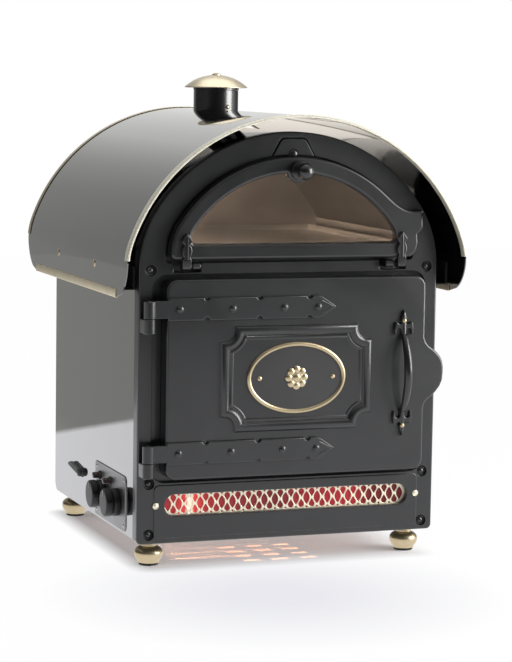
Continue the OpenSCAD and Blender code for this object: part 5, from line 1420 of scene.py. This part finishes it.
def makeWorld():
    # soft light all round; glossy surfaces see a studio that is dark behind the camera's left,
    # grey to the left at the back and bright at the right and overhead
    world = bpy.data.worlds.new("studio")
    bpy.context.scene.world = world
    world.use_nodes = True
    tree = world.node_tree
    tree.nodes.clear()
    out = tree.nodes.new("ShaderNodeOutputWorld")
    place = tree.nodes.new("ShaderNodeTexCoord")
    parts = tree.nodes.new("ShaderNodeSeparateXYZ")
    tree.links.new(place.outputs["Generated"], parts.inputs[0])
    across = mapRange(tree, parts.outputs["X"], -1.0, 1.0, 0.0, 1.0)
    rear = toneRamp(tree, across, [(0.0, 0.03), (1.0, 0.06), (0.16, 0.03), (0.27, 0.31), (0.36, 0.31),
                                   (0.42, 0.36), (0.475, 0.46), (0.55, 0.68), (0.66, 0.76), (0.78, 0.45),
                                   (0.88, 0.08)])
    front = toneRamp(tree, across, [(0.0, 0.03), (1.0, 0.90), (0.40, 0.02), (0.66, 0.03), (0.80, 0.10),
                                    (0.88, 0.9)])
    tone = colourMix(tree, mapRange(tree, parts.outputs["Y"], -0.1, 0.25, 0.0, 1.0), front, rear)
    tone = colourMix(tree, mapRange(tree, parts.outputs["Z"], 0.45, 0.85, 0.0, 1.0), tone, (0.62, 0.62, 0.61))
    back = addNode(tree, "ShaderNodeBackground", Color=(1.0, 1.0, 1.0, 1), Strength=1.0)
    soft = addNode(tree, "ShaderNodeBackground", Color=(0.94, 0.96, 1.0, 1), Strength=0.26)
    gloss = addNode(tree, "ShaderNodeBackground", Strength=1.0)
    tree.links.new(tone, gloss.inputs["Color"])
    path = tree.nodes.new("ShaderNodeLightPath")
    first, last = (tree.nodes.new("ShaderNodeMixShader") for _ in range(2))
    tree.links.new(path.outputs["Is Glossy Ray"], first.inputs[0])
    tree.links.new(soft.outputs[0], first.inputs[1])
    tree.links.new(gloss.outputs[0], first.inputs[2])
    tree.links.new(path.outputs["Is Camera Ray"], last.inputs[0])
    tree.links.new(first.outputs[0], last.inputs[1])
    tree.links.new(back.outputs[0], last.inputs[2])
    tree.links.new(last.outputs[0], out.inputs["Surface"])


def areaLight(name, place, aim, size, power, tint=(1, 1, 1), inGloss=True, spread=180):
    light = bpy.data.lights.new(name, "AREA")
    light.shape, light.size, light.size_y = "RECTANGLE", size[0], size[1]
    light.energy, light.color, light.spread = power, tint, math.radians(spread)
    obj = bpy.data.objects.new(name, light)
    obj.location = place
    obj.rotation_euler = (Vector(aim) - Vector(place)).to_track_quat("-Z", "Y").to_euler()
    obj.visible_glossy = inGloss
    bpy.context.scene.collection.objects.link(obj)


def pointLight(name, place, power, tint, radius):
    light = bpy.data.lights.new(name, "POINT")
    light.energy, light.color, light.shadow_soft_size = power, tint, radius
    obj = bpy.data.objects.new(name, light)
    obj.location = place
    obj.visible_camera, obj.visible_transmission = False, False
    bpy.context.scene.collection.objects.link(obj)


makeWorld()
areaLight("keyRight", (1.25, -0.86, 0.72), (0.05, faceY, 0.35), (0.85, 1.05), 29, (1.0, 0.99, 0.97))
areaLight("fillLeft", (-2.6, -2.0, 1.4), (0, 0, 0.3), (1.6, 1.6), 4, inGloss=False)
areaLight("topSoft", (0.3, 0.5, 2.6), (0, 0, 0.3), (2.2, 2.2), 20)
pointLight("displayWarm", (-0.06, faceY + 0.075, 0.52), 1.25, (1.0, 0.72, 0.51), 0.02)
pointLight("grilleWarm", (-0.15, faceY + 0.05, 0.088), 0.5, (1.0, 0.45, 0.25), 0.01)
areaLight("slotGlow", (0.0, faceY + 0.11, 0.105), (0.0, faceY + 0.11, 0.0), (0.30, 0.13), 0.02,
          (1.0, 0.46, 0.26), spread=5)
areaLight("underGlow", (0.0, faceY + 0.20, 0.036), (0.0, faceY + 0.20, 0.0), (0.42, 0.38), 0.19,
          (1.0, 0.84, 0.77), inGloss=False)
# the lit openings underneath draw four rows of three warm patches on the table
patches = {"rows": 4, "columns": 3, "x": -0.044, "y": 0.020, "stepX": 0.042, "stepY": 0.031, "lean": -0.002,
           "z": 0.006, "size": (0.023, 0.010), "power": 0.0009, "tint": (1.0, 0.36, 0.15), "spread": 30}
p = patches
for row in range(p["rows"]):
    for column in range(p["columns"]):
        patch = (p["x"] + p["stepX"] * column + p["lean"] * row, faceY + p["y"] + p["stepY"] * row)
        areaLight(f"patch{row}{column}", (*patch, p["z"]), (*patch, 0.0), p["size"], p["power"], p["tint"],
                  inGloss=False, spread=p["spread"])


def makeCamera():
    # the pose was solved from the oven's upright, front and side edges
    data = bpy.data.cameras.new("camera")
    data.lens, data.sensor_width, data.sensor_fit = 128.0, 36.0, "AUTO"
    data.clip_start, data.clip_end = 0.05, 60
    obj = bpy.data.objects.new("camera", data)
    right, up = Vector((0.93953446, -0.34210301, 0.01550887)), Vector((0.02370394, 0.11014458, 0.99363288))
    ahead = Vector((0.34163302, 0.93318471, -0.11159382))
    turn = Matrix((right, up, -ahead)).transposed()
    obj.matrix_world = Matrix.Translation((-1.15813, -3.02438 + faceY, 0.68684)) @ turn.to_4x4()
    bpy.context.scene.collection.objects.link(obj)
    bpy.context.scene.camera = obj


makeCamera()
bpy.context.scene.view_settings.view_transform = "Standard"
print("stage done")

bpy.context.view_layer.update()
